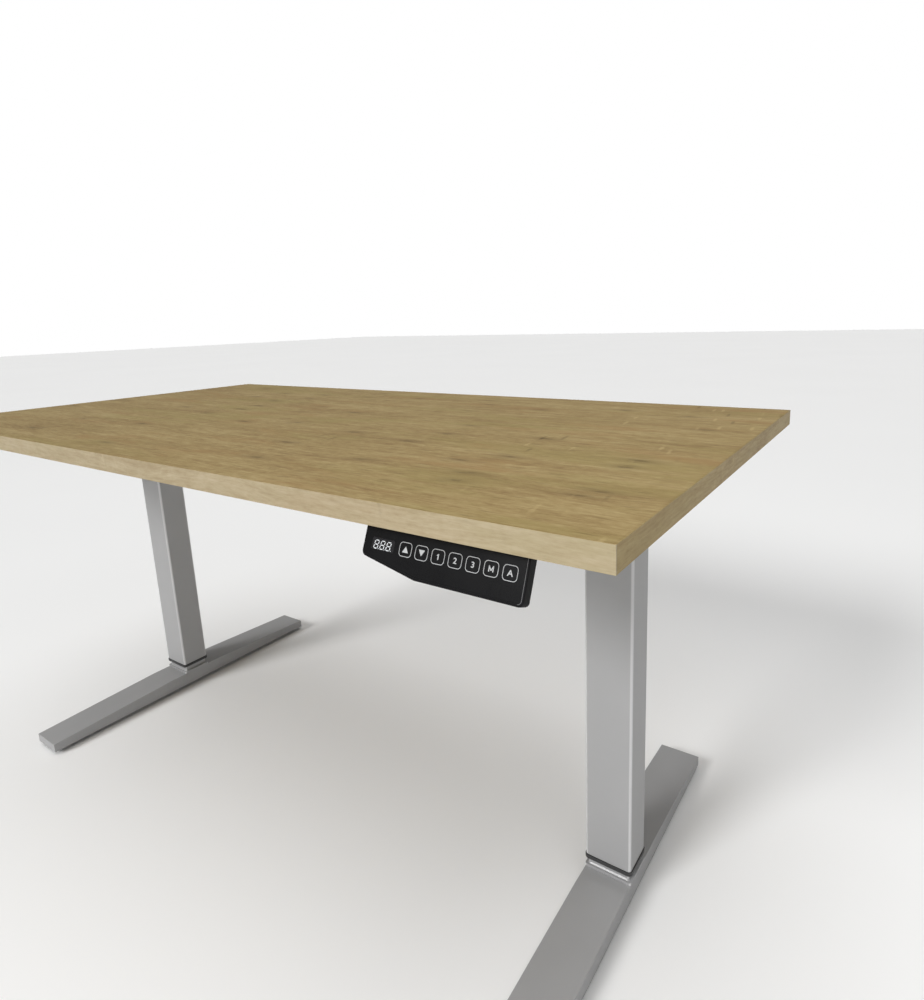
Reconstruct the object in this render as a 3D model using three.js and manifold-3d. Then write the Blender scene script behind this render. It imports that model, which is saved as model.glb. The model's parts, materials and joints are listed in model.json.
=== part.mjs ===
// A height-adjustable standing desk: an edge-banded board on a steel frame, two telescopic columns
// with a worm-driven spindle in each, feet on levelling pads, a control box and a tilted handset.
//
// Millimetres, +Z up. The origin is on the floor under the middle of the desk, the user sits at -Y,
// and the desk stands at its lowest height. Both columns are the same unit, one turned half round.
import * as THREE from "three";
import { mergeVertices } from "three/addons/utils/BufferGeometryUtils.js";
import Module from "manifold-3d";

const wasm = await Module();
wasm.setup();

// ---- Driving dimensions -------------------------------------------------------------------------
const gap = 0.3; // between pieces that touch

// Work surface
const topWidth = 1524;
const topDepth = 762;
const topThickness = 25.4;
const bandThickness = 2;
const lowestHeight = 730; // floor to the top face, columns closed

// Columns
const legInset = 124; // end of the top to the outer face of the column
const outerWidth = 76;
const outerDepth = 60;
const outerWall = 2;
const outerCorner = 5;
const glideRoom = 2; // between the outer tube's inside and the inner tube
const innerWall = 2;
const innerCorner = 3;
const leastOverlap = 112.8; // of the tubes, at full height
const topClearance = 3; // inner tube to the column's head, closed

// Column head with its worm gear
const headHeight = 42;
const headInboard = 46;
const headOutboard = 40;
const headFront = 30;
const headBack = 39;
const headFloor = 4;
const headCover = 6;
const gearModule = 1.5;
const wheelTeeth = 24;
const wormStarts = 2;
const wormRadius = 6; // pitch radius
const wormLength = 22;
const wheelWidth = 9;
const wheelLevel = 22.5; // middle of the wheel above the head's underside
const pressureAngle = THREE.MathUtils.degToRad(20);
const toothPlay = 0.55; // taken off every thread and every tooth at the pitch line
const gearRoom = 1.7; // inside the case, round wheel and worm
const shaftRadius = 4;
const runningRoom = 0.4; // radial, round what turns

// Motor and its cover
const motorRadius = 23;
const motorLength = 90;
const motorCapRadius = 17;
const motorCapLength = 6;
const motorShaftDepth = 12;
const coverWall = 1.5;
const coverRoom = 4; // round the motor
const coverLength = 129;

// Spindle, nut, bearing and glides
const spindleRadius = 8;
const bearingSeatRadius = 7;
const journalRadius = 6;
const journalOver = 5; // above the wheel
const stopRadius = 11;
const stopHeight = 6;
const nutHeight = 30;
const nutSink = 2; // below the inner tube's rim
const bearingRadius = 16;
const bearingHeight = 10;
const glideHeight = 38;
const glideLip = 1.5;
const collarLip = 6; // height of the collar's visible rim
const collarFlare = 1.5; // that rim past the outer tube
const restGap = 12; // base plate to collar, columns closed

// Feet
const footLength = 660;
const footWidth = 76;
const footHeight = 30;
const footEndHeight = 18;
const footFlat = 140; // length of the full-height part
const footWall = 3;
const plateThickness = 5;
const plateMargin = 5; // base plate past the inner tube
const plateCorner = 4;
const footBoltRadius = 4;
const footBoltSpacing = 30;
const levelerInset = 34; // from the foot's end
const bossRadius = 11;
const padRadius = 19;
const padHeight = 8;
const padRim = 4; // height of the pad's upright edge
const padNeck = 10; // radius of the pad's top
const stemRadius = 4;
const stemLength = 13;

// Frame under the top
const armLength = 600;
const armWidth = 70;
const armHeight = 24;
const armEndHeight = 11;
const armFlat = 320; // length of the full-height part
const armWall = 2.5;
const railDepth = 40;
const railHeight = 24;
const railWall = 2;
const railCorner = 3;
const railOffset = 120; // centre line from the middle of the desk
const flangeThickness = 4;
const flangeMargin = 11;

// Control box
const boxLength = 220;
const boxDepth = 104;
const boxHeight = 36;
const boxWall = 2;
const boxLid = 4;
const earReach = 14;
const earWidth = 20;
const earInset = 18; // from the box's end
const boardInset = 6; // circuit board, from the box's walls
const boardThickness = 1.6;
const boardLevel = 6; // above the box's floor
const pillarRadius = 4; // under the board's corners
const inletWidth = 27;
const inletHeight = 20;
const inletDepth = 18;
const inletProud = 2;
const inletWall = 2.6;
const inletFloor = 4;
const inletX = -60;

// Handset
const tilt = THREE.MathUtils.degToRad(22.35); // its face leans back from upright
const handsetInset = 86.1; // end of the top to its right side
const handsetSetback = 20; // front edge of the top to the face, at the underside
const handsetDrop = 51.4; // down the face, at the right
const handsetLeftDrop = 37.8; // down the face, at the left
const handsetKnee = 73; // left side to where the sloping edge ends
const handsetCorner = 5;
const handsetThickness = 12.5;
const handsetWall = 2;
const panelInset = 2.4;
const panelTopInset = 1.2;
const panelThickness = 0.7;
const panelLedge = 3; // the face's recess past its inner pocket
const keyWidth = 16;
const keyHeight = 14.5;
const keyCorner = 4;
const keyDepth = 3;
const keyProud = 0.15;
const keyPitch = 20.3;
const lastKeyInset = 18; // right side to the middle of the last key
const keyDrop = 24.2; // down the face to the middle of the keys
const displayWidth = 30;
const displayHeight = 12;
const displayCorner = 1;
const displayDepth = 4;
const displayInset = 26.3; // left side to the middle of the display
const displayToKeys = 30; // from there to the middle of the first key
const handsetBoardThickness = 1;
const tabDepth = 44; // screw-on tab behind the face
const tabThickness = 4;
const tabInset = 12; // from either side
const screwHoleRadius = 2.5;
const screwHoleInset = 18; // from the tab's sides and its back edge

// Leads
const motorLeadRadius = 2.5;
const handsetLeadRadius = 2;
const leadHoleRoom = 1.5;
const leadSides = 8;
const handsetLeadStart = 60; // from the handset's left side
const handsetLeadEnd = 60; // from the middle of the desk, where it enters the control box

// ---- Levels and places that follow --------------------------------------------------------------
const topUnderside = lowestHeight - topThickness;
const armTop = topUnderside - gap;
const armBottom = armTop - armHeight;
const headTop = armBottom - gap;
const headBottom = headTop - headHeight;
const caseTop = headTop - headCover - gap;
const outerTop = headBottom - gap;
const footBottom = padHeight + gap;
const plateBottom = footBottom + footHeight + gap;
const plateTop = plateBottom + plateThickness;
const collarBottom = plateTop + restGap;
const outerBottom = collarBottom + collarLip + gap;
const innerTop = outerTop - topClearance;
const stroke = innerTop - outerBottom - leastOverlap;
const legX = topWidth / 2 - legInset - outerWidth / 2;
const boreWidth = outerWidth - 2 * outerWall;
const boreDepth = outerDepth - 2 * outerWall;
const innerWidth = boreWidth - 2 * glideRoom;
const innerDepth = boreDepth - 2 * glideRoom;
const nutTop = innerTop - nutSink;
const nutBottom = nutTop - nutHeight;
const wheelRadius = (gearModule * wheelTeeth) / 2; // pitch radius
const gearCentres = wheelRadius + wormRadius;
const addendum = 0.9 * gearModule;
const dedendum = 1.15 * gearModule;
const wormZ = headBottom + wheelLevel;
const wormLead = Math.PI * gearModule * wormStarts;
const wheelBottom = wormZ - wheelWidth / 2;
const bearingBottom = headBottom + headFloor + gap;
const bearingTop = bearingBottom + bearingHeight;
const motorEnd = -headInboard - gap - motorLength;
const coverOpenEnd = -headInboard - 2 * gap;
const coverEnd = coverOpenEnd - coverLength;
const coverBack = gearCentres + motorRadius + coverRoom + coverWall;
const coverBottom = wormZ - motorRadius - coverRoom - coverWall;
const boxTop = armTop;
const boxBottom = boxTop - boxHeight;
const trayTop = boxTop - boxLid - gap;
const motorLeadZ = (trayTop + boxBottom) / 2 + 6;
const keyNames = ["up", "down", "1", "2", "3", "m", "a"];
const keysSpan = (keyNames.length - 1) * keyPitch;
const handsetWidth = displayInset + displayToKeys + keysSpan + lastKeyInset;

// ---- Shared shapes ------------------------------------------------------------------------------
// A closed geometry as a solid for joining and cutting.
function solid(geometry) {
  const bare = geometry.clone();
  bare.deleteAttribute("normal");
  bare.deleteAttribute("uv");
  const merged = mergeVertices(bare, 1e-4);
  const triVerts = new Uint32Array(merged.index.array);
  const vertProperties = merged.attributes.position.array;
  return new wasm.Manifold(new wasm.Mesh({ numProp: 3, vertProperties, triVerts }));
}

// The joined or cut solid as a geometry again.
function shaped(body) {
  const { vertProperties, triVerts } = body.getMesh();
  const geometry = new THREE.BufferGeometry();
  geometry.setAttribute("position", new THREE.BufferAttribute(vertProperties, 3));
  geometry.setIndex(new THREE.BufferAttribute(triVerts, 1));
  const flat = geometry.toNonIndexed();
  flat.computeVertexNormals();
  return flat;
}

const joined = (first, ...others) => others.reduce((sum, g) => sum.add(solid(g)), solid(first));
const cutBy = (body, ...tools) => tools.reduce((left, g) => left.subtract(solid(g)), body);

// A box between two corners. Boxes that name the same value meet exactly.
function block([x0, x1], [y0, y1], [z0, z1]) {
  const geometry = new THREE.BoxGeometry(1, 1, 1);
  const p = geometry.attributes.position;
  for (let i = 0; i < p.count; i++) {
    p.setXYZ(i, p.getX(i) < 0 ? x0 : x1, p.getY(i) < 0 ? y0 : y1, p.getZ(i) < 0 ? z0 : z1);
  }
  return geometry;
}

const about = (middle, size) => [middle - size / 2, middle + size / 2];

function roundedRectangle(width, depth, corner, Kind = THREE.Shape) {
  const x = width / 2 - corner;
  const y = depth / 2 - corner;
  const shape = new Kind();
  shape.absarc(x, y, corner, 0, Math.PI / 2);
  shape.absarc(-x, y, corner, Math.PI / 2, Math.PI);
  shape.absarc(-x, -y, corner, Math.PI, 1.5 * Math.PI);
  shape.absarc(x, -y, corner, 1.5 * Math.PI, 2 * Math.PI);
  shape.closePath();
  return shape;
}

// A shape in XY, carried from z0 up to z1.
function prism(shape, z0, z1, curveSegments = 2) {
  const options = { depth: z1 - z0, bevelEnabled: false, curveSegments };
  return new THREE.ExtrudeGeometry(shape, options).translate(0, 0, z0);
}

// A shape whose x runs along Y and whose y runs up Z, carried from x0 to x1.
function sidePrism(shape, x0, x1) {
  const turn = new THREE.Matrix4().makeBasis(
    new THREE.Vector3(0, 1, 0),
    new THREE.Vector3(0, 0, 1),
    new THREE.Vector3(1, 0, 0),
  );
  return prism(shape, x0, x1).applyMatrix4(turn);
}

// A shape whose x runs along X and whose y runs up Z, carried from y0 back to y1.
function facePrism(shape, y0, y1, curveSegments = 2) {
  return prism(shape, -y1, -y0, curveSegments).rotateX(Math.PI / 2);
}

function rectangularTube(width, depth, corner, wall, z0, z1) {
  const shape = roundedRectangle(width, depth, corner);
  const inside = Math.max(corner - wall, 0.5);
  shape.holes.push(roundedRectangle(width - 2 * wall, depth - 2 * wall, inside, THREE.Path));
  return prism(shape, z0, z1);
}

const roundSides = 16;

// A profile of [radius, height] points, from the axis and back to it or closed, turned about Z.
function turned(points, sides = roundSides) {
  const profile = points.map(([r, z]) => new THREE.Vector2(r, z));
  return new THREE.LatheGeometry(profile, sides).rotateX(Math.PI / 2);
}

function upright(radius, z0, z1, x = 0, y = 0) {
  const geometry = new THREE.CylinderGeometry(radius, radius, z1 - z0, roundSides);
  return geometry.rotateX(Math.PI / 2).translate(x, y, (z0 + z1) / 2);
}

function alongX(radius, x0, x1, y, z) {
  const geometry = new THREE.CylinderGeometry(radius, radius, x1 - x0, roundSides);
  return geometry.rotateZ(-Math.PI / 2).translate((x0 + x1) / 2, y, z);
}

function alongY(radius, y0, y1, x, z) {
  const geometry = new THREE.CylinderGeometry(radius, radius, y1 - y0, roundSides);
  return geometry.translate(x, (y0 + y1) / 2, z);
}

// The radius of a faceted hole that leaves `room` round a faceted shaft, whichever way it has turned.
const holeRound = (radius, room = runningRoom) => (radius + room) / Math.cos(Math.PI / roundSides);

const polygon = (points) => new THREE.Shape(points.map(([x, y]) => new THREE.Vector2(x, y)));
const polar = (radius, angle) => [radius * Math.cos(angle), radius * Math.sin(angle)];

// Turns each section of an upright extrusion about Z, in proportion to its height over z0.
function twisted(geometry, turnPerMm, z0) {
  const p = geometry.attributes.position;
  const point = new THREE.Vector3();
  const axis = new THREE.Vector3(0, 0, 1);
  for (let i = 0; i < p.count; i++) {
    point.fromBufferAttribute(p, i);
    point.applyAxisAngle(axis, (point.z - z0) * turnPerMm);
    p.setXYZ(i, point.x, point.y, point.z);
  }
  return geometry;
}

// A folded-sheet beam along Y, open below, level in the middle and thinner at its ends. `level` is
// its straight side; `middle` and `end` are its heights from there, negative for a beam that hangs.
function channel(length, flat, width, level, middle, end, wall) {
  const outline = (half, shift) =>
    polygon([
      [-half, level + shift],
      [half, level + shift],
      [half, level + shift + end],
      [flat / 2, level + shift + middle],
      [-flat / 2, level + shift + middle],
      [-half, level + shift + end],
    ]);
  const hollow = width / 2 - wall;
  const inside = sidePrism(outline(length / 2 - wall, -wall), -hollow, hollow);
  return cutBy(solid(sidePrism(outline(length / 2, 0), -width / 2, width / 2)), inside);
}

// A round lead through chosen points, a section every few millimetres.
function lead(points, radius, steps) {
  const path = new THREE.CatmullRomCurve3(points.map((p) => new THREE.Vector3(...p)));
  const section = [];
  for (let i = 0; i < leadSides; i++) section.push(polar(radius, (2 * Math.PI * i) / leadSides));
  return new THREE.ExtrudeGeometry(polygon(section), { steps, extrudePath: path });
}

// ---- Finishes -----------------------------------------------------------------------------------
const finish = (color, roughness, metalness) =>
  new THREE.MeshStandardMaterial({ color, roughness, metalness });
const oak = finish(0xa08a61, 0.55, 0);
const oakEdge = finish(0xc2b08d, 0.55, 0);
const greyPaint = finish(0xa6a6a6, 0.5, 0.25);
const blackPlastic = finish(0x202021, 0.45, 0);
const panelPlastic = finish(0x29292a, 0.3, 0);
const glidePlastic = finish(0x3c3d3f, 0.6, 0);
const steel = finish(0x9a9ca0, 0.35, 0.9);
const bronze = finish(0xa9793f, 0.4, 0.9);
const castAluminium = finish(0x9fa1a3, 0.55, 0.8);
const motorPaint = finish(0x2f3033, 0.5, 0.3);
const rubber = finish(0x1c1c1d, 0.8, 0);
const circuitBoard = finish(0x1f4a2c, 0.5, 0);
const displayGlass = finish(0x0d0d0e, 0.15, 0);

const desk = new THREE.Group();

function add(parent, name, geometry, material) {
  const mesh = new THREE.Mesh(geometry, material);
  mesh.name = name;
  parent.add(mesh);
}

// ---- Work surface: board and four edge bands ----------------------------------------------------
const halfWidth = topWidth / 2;
const halfDepth = topDepth / 2;
const boardX = halfWidth - bandThickness;
const boardY = halfDepth - bandThickness;
const topLevels = [topUnderside, lowestHeight];
const whole = [-halfWidth, halfWidth];
const between = [-boardY, boardY];
add(desk, "desktop_board", block([-boardX, boardX], between, topLevels), oak);
add(desk, "edge_band_front", block(whole, [-halfDepth, -boardY], topLevels), oakEdge);
add(desk, "edge_band_rear", block(whole, [boardY, halfDepth], topLevels), oakEdge);
add(desk, "edge_band_left", block([-halfWidth, -boardX], between, topLevels), oakEdge);
add(desk, "edge_band_right", block([boardX, halfWidth], between, topLevels), oakEdge);

// ---- Frame: two side arms and two cross rails ---------------------------------------------------
// The arm is an inverted channel with a plate welded across it, which the column's head bolts to.
function armGeometry() {
  const beam = channel(armLength, armFlat, armWidth, armTop, -armHeight, -armEndHeight, armWall);
  const across = about(0, armWidth);
  const seat = block(across, [-headFront, headBack], [armBottom, armBottom + armWall]);
  return shaped(beam.add(solid(seat)));
}

// The rail is a rectangular tube with a flange on each end; its bore runs through both flanges.
function railGeometry(y) {
  const end = legX - armWidth / 2 - gap;
  const middleZ = armTop - railHeight / 2;
  const bar = roundedRectangle(railDepth, railHeight, railCorner);
  const bore = roundedRectangle(railDepth - 2 * railWall, railHeight - 2 * railWall, 1);
  const flange = roundedRectangle(railDepth + 2 * flangeMargin, railHeight, railCorner);
  const body = joined(
    sidePrism(bar, -end, end),
    sidePrism(flange, -end, -end + flangeThickness),
    sidePrism(flange, end - flangeThickness, end),
  );
  return shaped(cutBy(body, sidePrism(bore, -end - 1, end + 1))).translate(0, y, middleZ);
}
add(desk, "front_rail", railGeometry(-railOffset), greyPaint);
add(desk, "rear_rail", railGeometry(railOffset), greyPaint);

// ---- Foot, with a boss for each levelling pad ---------------------------------------------------
const padY = footLength / 2 - levelerInset;
const boltSpots = [-1, 1].flatMap((a) => [-1, 1].map((b) => [a, b].map((s) => (s * footBoltSpacing) / 2)));
const boltHoles = (z0, z1) => boltSpots.map(([x, y]) => upright(holeRound(footBoltRadius), z0, z1, x, y));

function footGeometry() {
  const slope = (footHeight - footEndHeight) / (footLength / 2 - footFlat / 2);
  const bossTop = footBottom + footEndHeight + slope * levelerInset - footWall / 2;
  const stemHole = [footBottom - 1, padHeight + stemLength + 1];
  let body = channel(footLength, footFlat, footWidth, footBottom, footHeight, footEndHeight, footWall);
  for (const y of [-padY, padY]) {
    body = body.add(solid(upright(bossRadius, footBottom, bossTop, 0, y)));
    body = cutBy(body, upright(holeRound(stemRadius), ...stemHole, 0, y));
  }
  return shaped(cutBy(body, ...boltHoles(plateBottom - footWall - 1, plateBottom)));
}

function levelerGeometry(y) {
  const profile = [
    [0, 0],
    [padRadius - 1.5, 0],
    [padRadius, 1.5],
    [padRadius, padRim],
    [padNeck, padHeight],
    [stemRadius, padHeight],
    [stemRadius, padHeight + stemLength],
    [0, padHeight + stemLength],
  ];
  return turned(profile).translate(0, y, 0);
}

// ---- Telescopic tubes and their glides ----------------------------------------------------------
function innerTubeGeometry() {
  const plate = roundedRectangle(innerWidth + 2 * plateMargin, innerDepth + 2 * plateMargin, plateCorner);
  const tube = rectangularTube(innerWidth, innerDepth, innerCorner, innerWall, plateBottom, innerTop);
  const body = joined(tube, prism(plate, plateBottom, plateTop));
  return shaped(cutBy(body, ...boltHoles(plateBottom - 1, plateTop + 1)));
}

const sleeveWidth = boreWidth - 2 * gap;
const sleeveDepth = boreDepth - 2 * gap;
const sleeveCorner = Math.max(outerCorner - outerWall - gap, 0.6);

function sleeve(z0, z1) {
  return rectangularTube(sleeveWidth, sleeveDepth, sleeveCorner, glideRoom - 2 * gap, z0, z1);
}

// The glide at the top of the inner tube is clipped over its rim.
function innerGlideGeometry() {
  const lipWall = glideRoom - gap + innerWall;
  const rim = [innerTop + gap, innerTop + gap + glideLip];
  const lip = rectangularTube(sleeveWidth, sleeveDepth, sleeveCorner, lipWall, ...rim);
  return shaped(joined(sleeve(innerTop - glideHeight, rim[1]), lip));
}

// The collar is pressed into the outer tube's mouth and shows as a thin rim below it.
function collarGeometry() {
  const lipWall = collarFlare + outerWall + glideRoom - gap;
  const [width, depth] = [outerWidth, outerDepth].map((size) => size + 2 * collarFlare);
  const rim = [collarBottom, collarBottom + collarLip];
  const lip = rectangularTube(width, depth, outerCorner + collarFlare, lipWall, ...rim);
  return shaped(joined(sleeve(collarBottom, outerBottom + glideHeight), lip));
}

// ---- Spindle drive ------------------------------------------------------------------------------
function nutGeometry() {
  const [width, depth] = [innerWidth, innerDepth].map((size) => size - 2 * innerWall - 2 * gap);
  const body = solid(prism(roundedRectangle(width, depth, innerCorner), nutBottom, nutTop));
  return shaped(cutBy(body, upright(holeRound(spindleRadius), nutBottom - 1, nutTop + 1)));
}

function spindleGeometry() {
  const stopTop = nutBottom - stroke - gap;
  const shoulder = headBottom - gap;
  const top = wheelBottom + wheelWidth + journalOver;
  return turned([
    [0, stopTop - stopHeight],
    [stopRadius, stopTop - stopHeight],
    [stopRadius, stopTop],
    [spindleRadius, stopTop],
    [spindleRadius, shoulder],
    [bearingSeatRadius, shoulder],
    [bearingSeatRadius, wheelBottom - gap],
    [journalRadius, wheelBottom - gap],
    [journalRadius, top],
    [0, top],
  ]);
}

function bearingGeometry() {
  const bore = bearingSeatRadius + gap;
  return turned([
    [bore, bearingBottom],
    [bearingRadius, bearingBottom],
    [bearingRadius, bearingTop],
    [bore, bearingTop],
    [bore, bearingBottom],
  ]);
}

// Half of a straight-flanked tooth's thickness, `rise` out from the pitch line.
const halfTooth = (rise) =>
  (Math.PI * gearModule) / 4 - toothPlay / 2 - rise * Math.tan(pressureAngle);

function wheelGeometry() {
  const root = wheelRadius - dedendum;
  const tip = wheelRadius + addendum;
  const points = [];
  for (let i = 0; i < wheelTeeth; i++) {
    const middle = (2 * Math.PI * (i + 0.5)) / wheelTeeth;
    points.push(polar(root, middle - halfTooth(-dedendum) / root));
    points.push(polar(tip, middle - halfTooth(addendum) / tip));
    points.push(polar(tip, middle + halfTooth(addendum) / tip));
    points.push(polar(root, middle + halfTooth(-dedendum) / root));
  }
  const shape = polygon(points);
  const bore = [];
  for (let i = 0; i < roundSides; i++) {
    bore.push(polar(holeRound(journalRadius, gap), (2 * Math.PI * i) / roundSides));
  }
  shape.holes.push(new THREE.Path(bore.map(([x, y]) => new THREE.Vector2(x, y))));
  const options = { depth: wheelWidth, bevelEnabled: false, steps: 3 };
  const wheel = new THREE.ExtrudeGeometry(shape, options).translate(0, 0, wheelBottom);
  const turnPerMm = wormLead / (2 * Math.PI * wormRadius) / wheelRadius;
  return twisted(wheel, turnPerMm, wormZ);
}

// The worm is a section with one lobe for each start, twisted by a turn in each lead.
function wormShaftGeometry() {
  const root = wormRadius - dedendum;
  const tip = wormRadius + addendum;
  const turn = (2 * Math.PI) / wormLead;
  const points = [];
  for (let i = 0; i < wormStarts; i++) {
    const middle = (2 * Math.PI * i) / wormStarts;
    points.push(polar(root, middle - halfTooth(-dedendum) * turn));
    points.push(polar(tip, middle - halfTooth(addendum) * turn));
    points.push(polar(tip, middle + halfTooth(addendum) * turn));
    points.push(polar(root, middle + halfTooth(-dedendum) * turn));
    points.push(polar(root, middle + Math.PI / wormStarts));
  }
  const steps = Math.round((wormLength / wormLead) * 14);
  const options = { depth: wormLength, bevelEnabled: false, steps };
  const worm = new THREE.ExtrudeGeometry(polygon(points), options);
  twisted(worm.translate(0, 0, -wormLength / 2), turn, 0);
  const lieAlongX = new THREE.Matrix4().makeBasis(
    new THREE.Vector3(0, -1, 0),
    new THREE.Vector3(0, 0, -1),
    new THREE.Vector3(1, 0, 0),
  );
  worm.applyMatrix4(lieAlongX).translate(0, gearCentres, wormZ);
  const shaft = [-headInboard - gap - motorShaftDepth, headOutboard - headCover];
  return shaped(joined(worm, alongX(shaftRadius, ...shaft, gearCentres, wormZ)));
}

// ---- Head, motor and motor cover ----------------------------------------------------------------
const headX = [-headInboard, headOutboard];
const headY = [-headFront, headBack];

function headCaseGeometry() {
  const tip = addendum + gearRoom;
  const over = caseTop + 1;
  const wormRoom = [-(wormLength / 2 + gearRoom), wormLength / 2 + gearRoom];
  return shaped(
    cutBy(
      solid(block(headX, headY, [headBottom, caseTop])),
      upright(holeRound(bearingSeatRadius), headBottom - 1, over),
      upright(holeRound(bearingRadius, gap), headBottom + headFloor, over),
      upright(wheelRadius + tip, bearingTop + gap, over),
      block(wormRoom, about(gearCentres, 2 * (wormRadius + tip)), [wormZ - wormRadius - tip, over]),
      alongX(holeRound(shaftRadius), -headInboard - 1, headOutboard - headCover / 2, gearCentres, wormZ),
    ),
  );
}

function motorGeometry() {
  const bore = holeRound(shaftRadius);
  const body = turned([
    [0, motorShaftDepth + 2],
    [bore, motorShaftDepth + 2],
    [bore, 0],
    [motorRadius, 0],
    [motorRadius, motorLength - motorCapLength],
    [motorCapRadius, motorLength - motorCapLength],
    [motorCapRadius, motorLength],
    [0, motorLength],
  ]);
  return body.rotateY(-Math.PI / 2).translate(-headInboard - gap, gearCentres, wormZ);
}

function motorCoverGeometry() {
  const inside = [
    [coverEnd + coverWall, coverOpenEnd + 1],
    [-headFront + coverWall, coverBack - coverWall],
    [coverBottom + coverWall, armTop + 1],
  ];
  const shell = solid(block([coverEnd, coverOpenEnd], [-headFront, coverBack], [coverBottom, armTop]));
  const hole = alongX(motorLeadRadius + leadHoleRoom, coverEnd - 1, coverEnd + coverWall + 1, 0, motorLeadZ);
  return shaped(cutBy(shell, block(...inside), hole));
}

// From the motor's cap through the end of its cover, along under the top and into the control box.
function motorLeadGeometry() {
  const boxSide = boxLength / 2 - legX;
  const points = [
    [motorEnd - 2 * gap, gearCentres, wormZ],
    [motorEnd - 9, gearCentres, wormZ],
    [motorEnd - 22, 15, motorLeadZ - 18],
    [coverEnd + 12, 3, motorLeadZ - 2],
    [coverEnd, 0, motorLeadZ],
    [coverEnd - 12, -1, motorLeadZ + 2],
    [coverEnd - 32, -3, topUnderside - 5],
    [coverEnd - 60, -4, topUnderside - 4.2],
    [(coverEnd + boxSide) / 2, 0, topUnderside - 4.2],
    [boxSide + 60, 4, topUnderside - 4.2],
    [boxSide + 32, 3, topUnderside - 5],
    [boxSide + 13, 0, motorLeadZ + 2],
    [boxSide, 0, motorLeadZ],
    [boxSide - 8, 0, motorLeadZ],
  ];
  return lead(points.reverse(), motorLeadRadius, 36);
}

// ---- Both columns -------------------------------------------------------------------------------
for (const [side, x, turn] of [["right", legX, 0], ["left", -legX, Math.PI]]) {
  const column = new THREE.Group();
  column.position.x = x;
  column.rotation.z = turn;
  desk.add(column);
  const ends = turn ? ["rear", "front"] : ["front", "rear"];
  const outerTube = rectangularTube(outerWidth, outerDepth, outerCorner, outerWall, outerBottom, outerTop);
  add(column, `${side}_arm`, armGeometry(), greyPaint);
  add(column, `${side}_foot`, footGeometry(), greyPaint);
  add(column, `${side}_${ends[0]}_leveler`, levelerGeometry(-padY), rubber);
  add(column, `${side}_${ends[1]}_leveler`, levelerGeometry(padY), rubber);
  add(column, `${side}_inner_tube`, innerTubeGeometry(), greyPaint);
  add(column, `${side}_inner_glide`, innerGlideGeometry(), glidePlastic);
  add(column, `${side}_outer_tube`, outerTube, greyPaint);
  add(column, `${side}_collar`, collarGeometry(), glidePlastic);
  add(column, `${side}_spindle`, spindleGeometry(), steel);
  add(column, `${side}_spindle_nut`, nutGeometry(), bronze);
  add(column, `${side}_spindle_bearing`, bearingGeometry(), steel);
  add(column, `${side}_worm_wheel`, wheelGeometry(), bronze);
  add(column, `${side}_worm_shaft`, wormShaftGeometry(), steel);
  add(column, `${side}_gearbox_case`, headCaseGeometry(), castAluminium);
  add(column, `${side}_gearbox_cover`, block(headX, headY, [caseTop + gap, headTop]), castAluminium);
  add(column, `${side}_motor`, motorGeometry(), motorPaint);
  add(column, `${side}_motor_cover`, motorCoverGeometry(), blackPlastic);
  add(column, `${side}_motor_lead`, motorLeadGeometry(), rubber);
}

// ---- Control box: tray, lid, circuit board and mains inlet --------------------------------------
const boxX = about(0, boxLength);
const boxY = about(0, boxDepth);
const inletZ = (boxBottom + trayTop) / 2;

const circuitX = about(0, boxLength - 2 * (boxWall + boardInset));
// The circuit board stops short of the inlet's body.
const circuitY = [
  -boxDepth / 2 + boxWall + boardInset,
  boxDepth / 2 + inletProud - inletDepth - 1,
];
const circuitBottom = boxBottom + boxWall + boardLevel;

function trayGeometry() {
  const leadHole = motorLeadRadius + leadHoleRoom;
  const inlet = [about(inletX, inletWidth + 2 * gap), about(inletZ, inletHeight + 2 * gap)];
  const inside = [boxLength, boxDepth].map((size) => about(0, size - 2 * boxWall));
  const corner = pillarRadius + 1;
  const pillars = [circuitX[0] + corner, circuitX[1] - corner].flatMap((x) =>
    [circuitY[0] + corner, circuitY[1] - corner].map((y) =>
      solid(upright(pillarRadius, boxBottom + boxWall / 2, circuitBottom - gap, x, y)),
    ),
  );
  const shell = cutBy(
    solid(block(boxX, boxY, [boxBottom, trayTop])),
    block(...inside, [boxBottom + boxWall, trayTop + 1]),
  );
  return shaped(
    cutBy(
      pillars.reduce((sum, pillar) => sum.add(pillar), shell),
      alongX(leadHole, -boxLength, boxLength, 0, motorLeadZ),
      alongY(handsetLeadRadius + leadHoleRoom, -boxDepth, 0, handsetLeadEnd, motorLeadZ),
      block(inlet[0], [0, boxDepth], inlet[1]),
    ),
  );
}

function lidGeometry() {
  const levels = [boxTop - boxLid, boxTop];
  const earX = boxLength / 2 - earInset - earWidth / 2;
  const reach = about(0, boxDepth + 2 * earReach);
  const ears = [-earX, earX].map((x) => block(about(x, earWidth), reach, levels));
  const holeY = (boxDepth + earReach) / 2;
  const holes = [-earX, earX].flatMap((x) =>
    [-holeY, holeY].map((y) => upright(screwHoleRadius, levels[0] - 1, levels[1] + 1, x, y)),
  );
  return shaped(cutBy(joined(block(boxX, boxY, levels), ...ears), ...holes));
}

function inletGeometry() {
  const face = boxDepth / 2 + inletProud;
  const recess = [inletWidth, inletHeight].map((size) => size - 2 * inletWall);
  const body = solid(block(about(inletX, inletWidth), [face - inletDepth, face], about(inletZ, inletHeight)));
  const back = face - inletDepth + inletFloor;
  return shaped(cutBy(body, block(about(inletX, recess[0]), [back, face + 1], about(inletZ, recess[1]))));
}

add(desk, "control_box_tray", trayGeometry(), blackPlastic);
add(desk, "control_box_lid", lidGeometry(), blackPlastic);
add(
  desk,
  "control_board",
  block(circuitX, circuitY, [circuitBottom, circuitBottom + boardThickness]),
  circuitBoard,
);
add(desk, "mains_inlet", inletGeometry(), blackPlastic);

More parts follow.
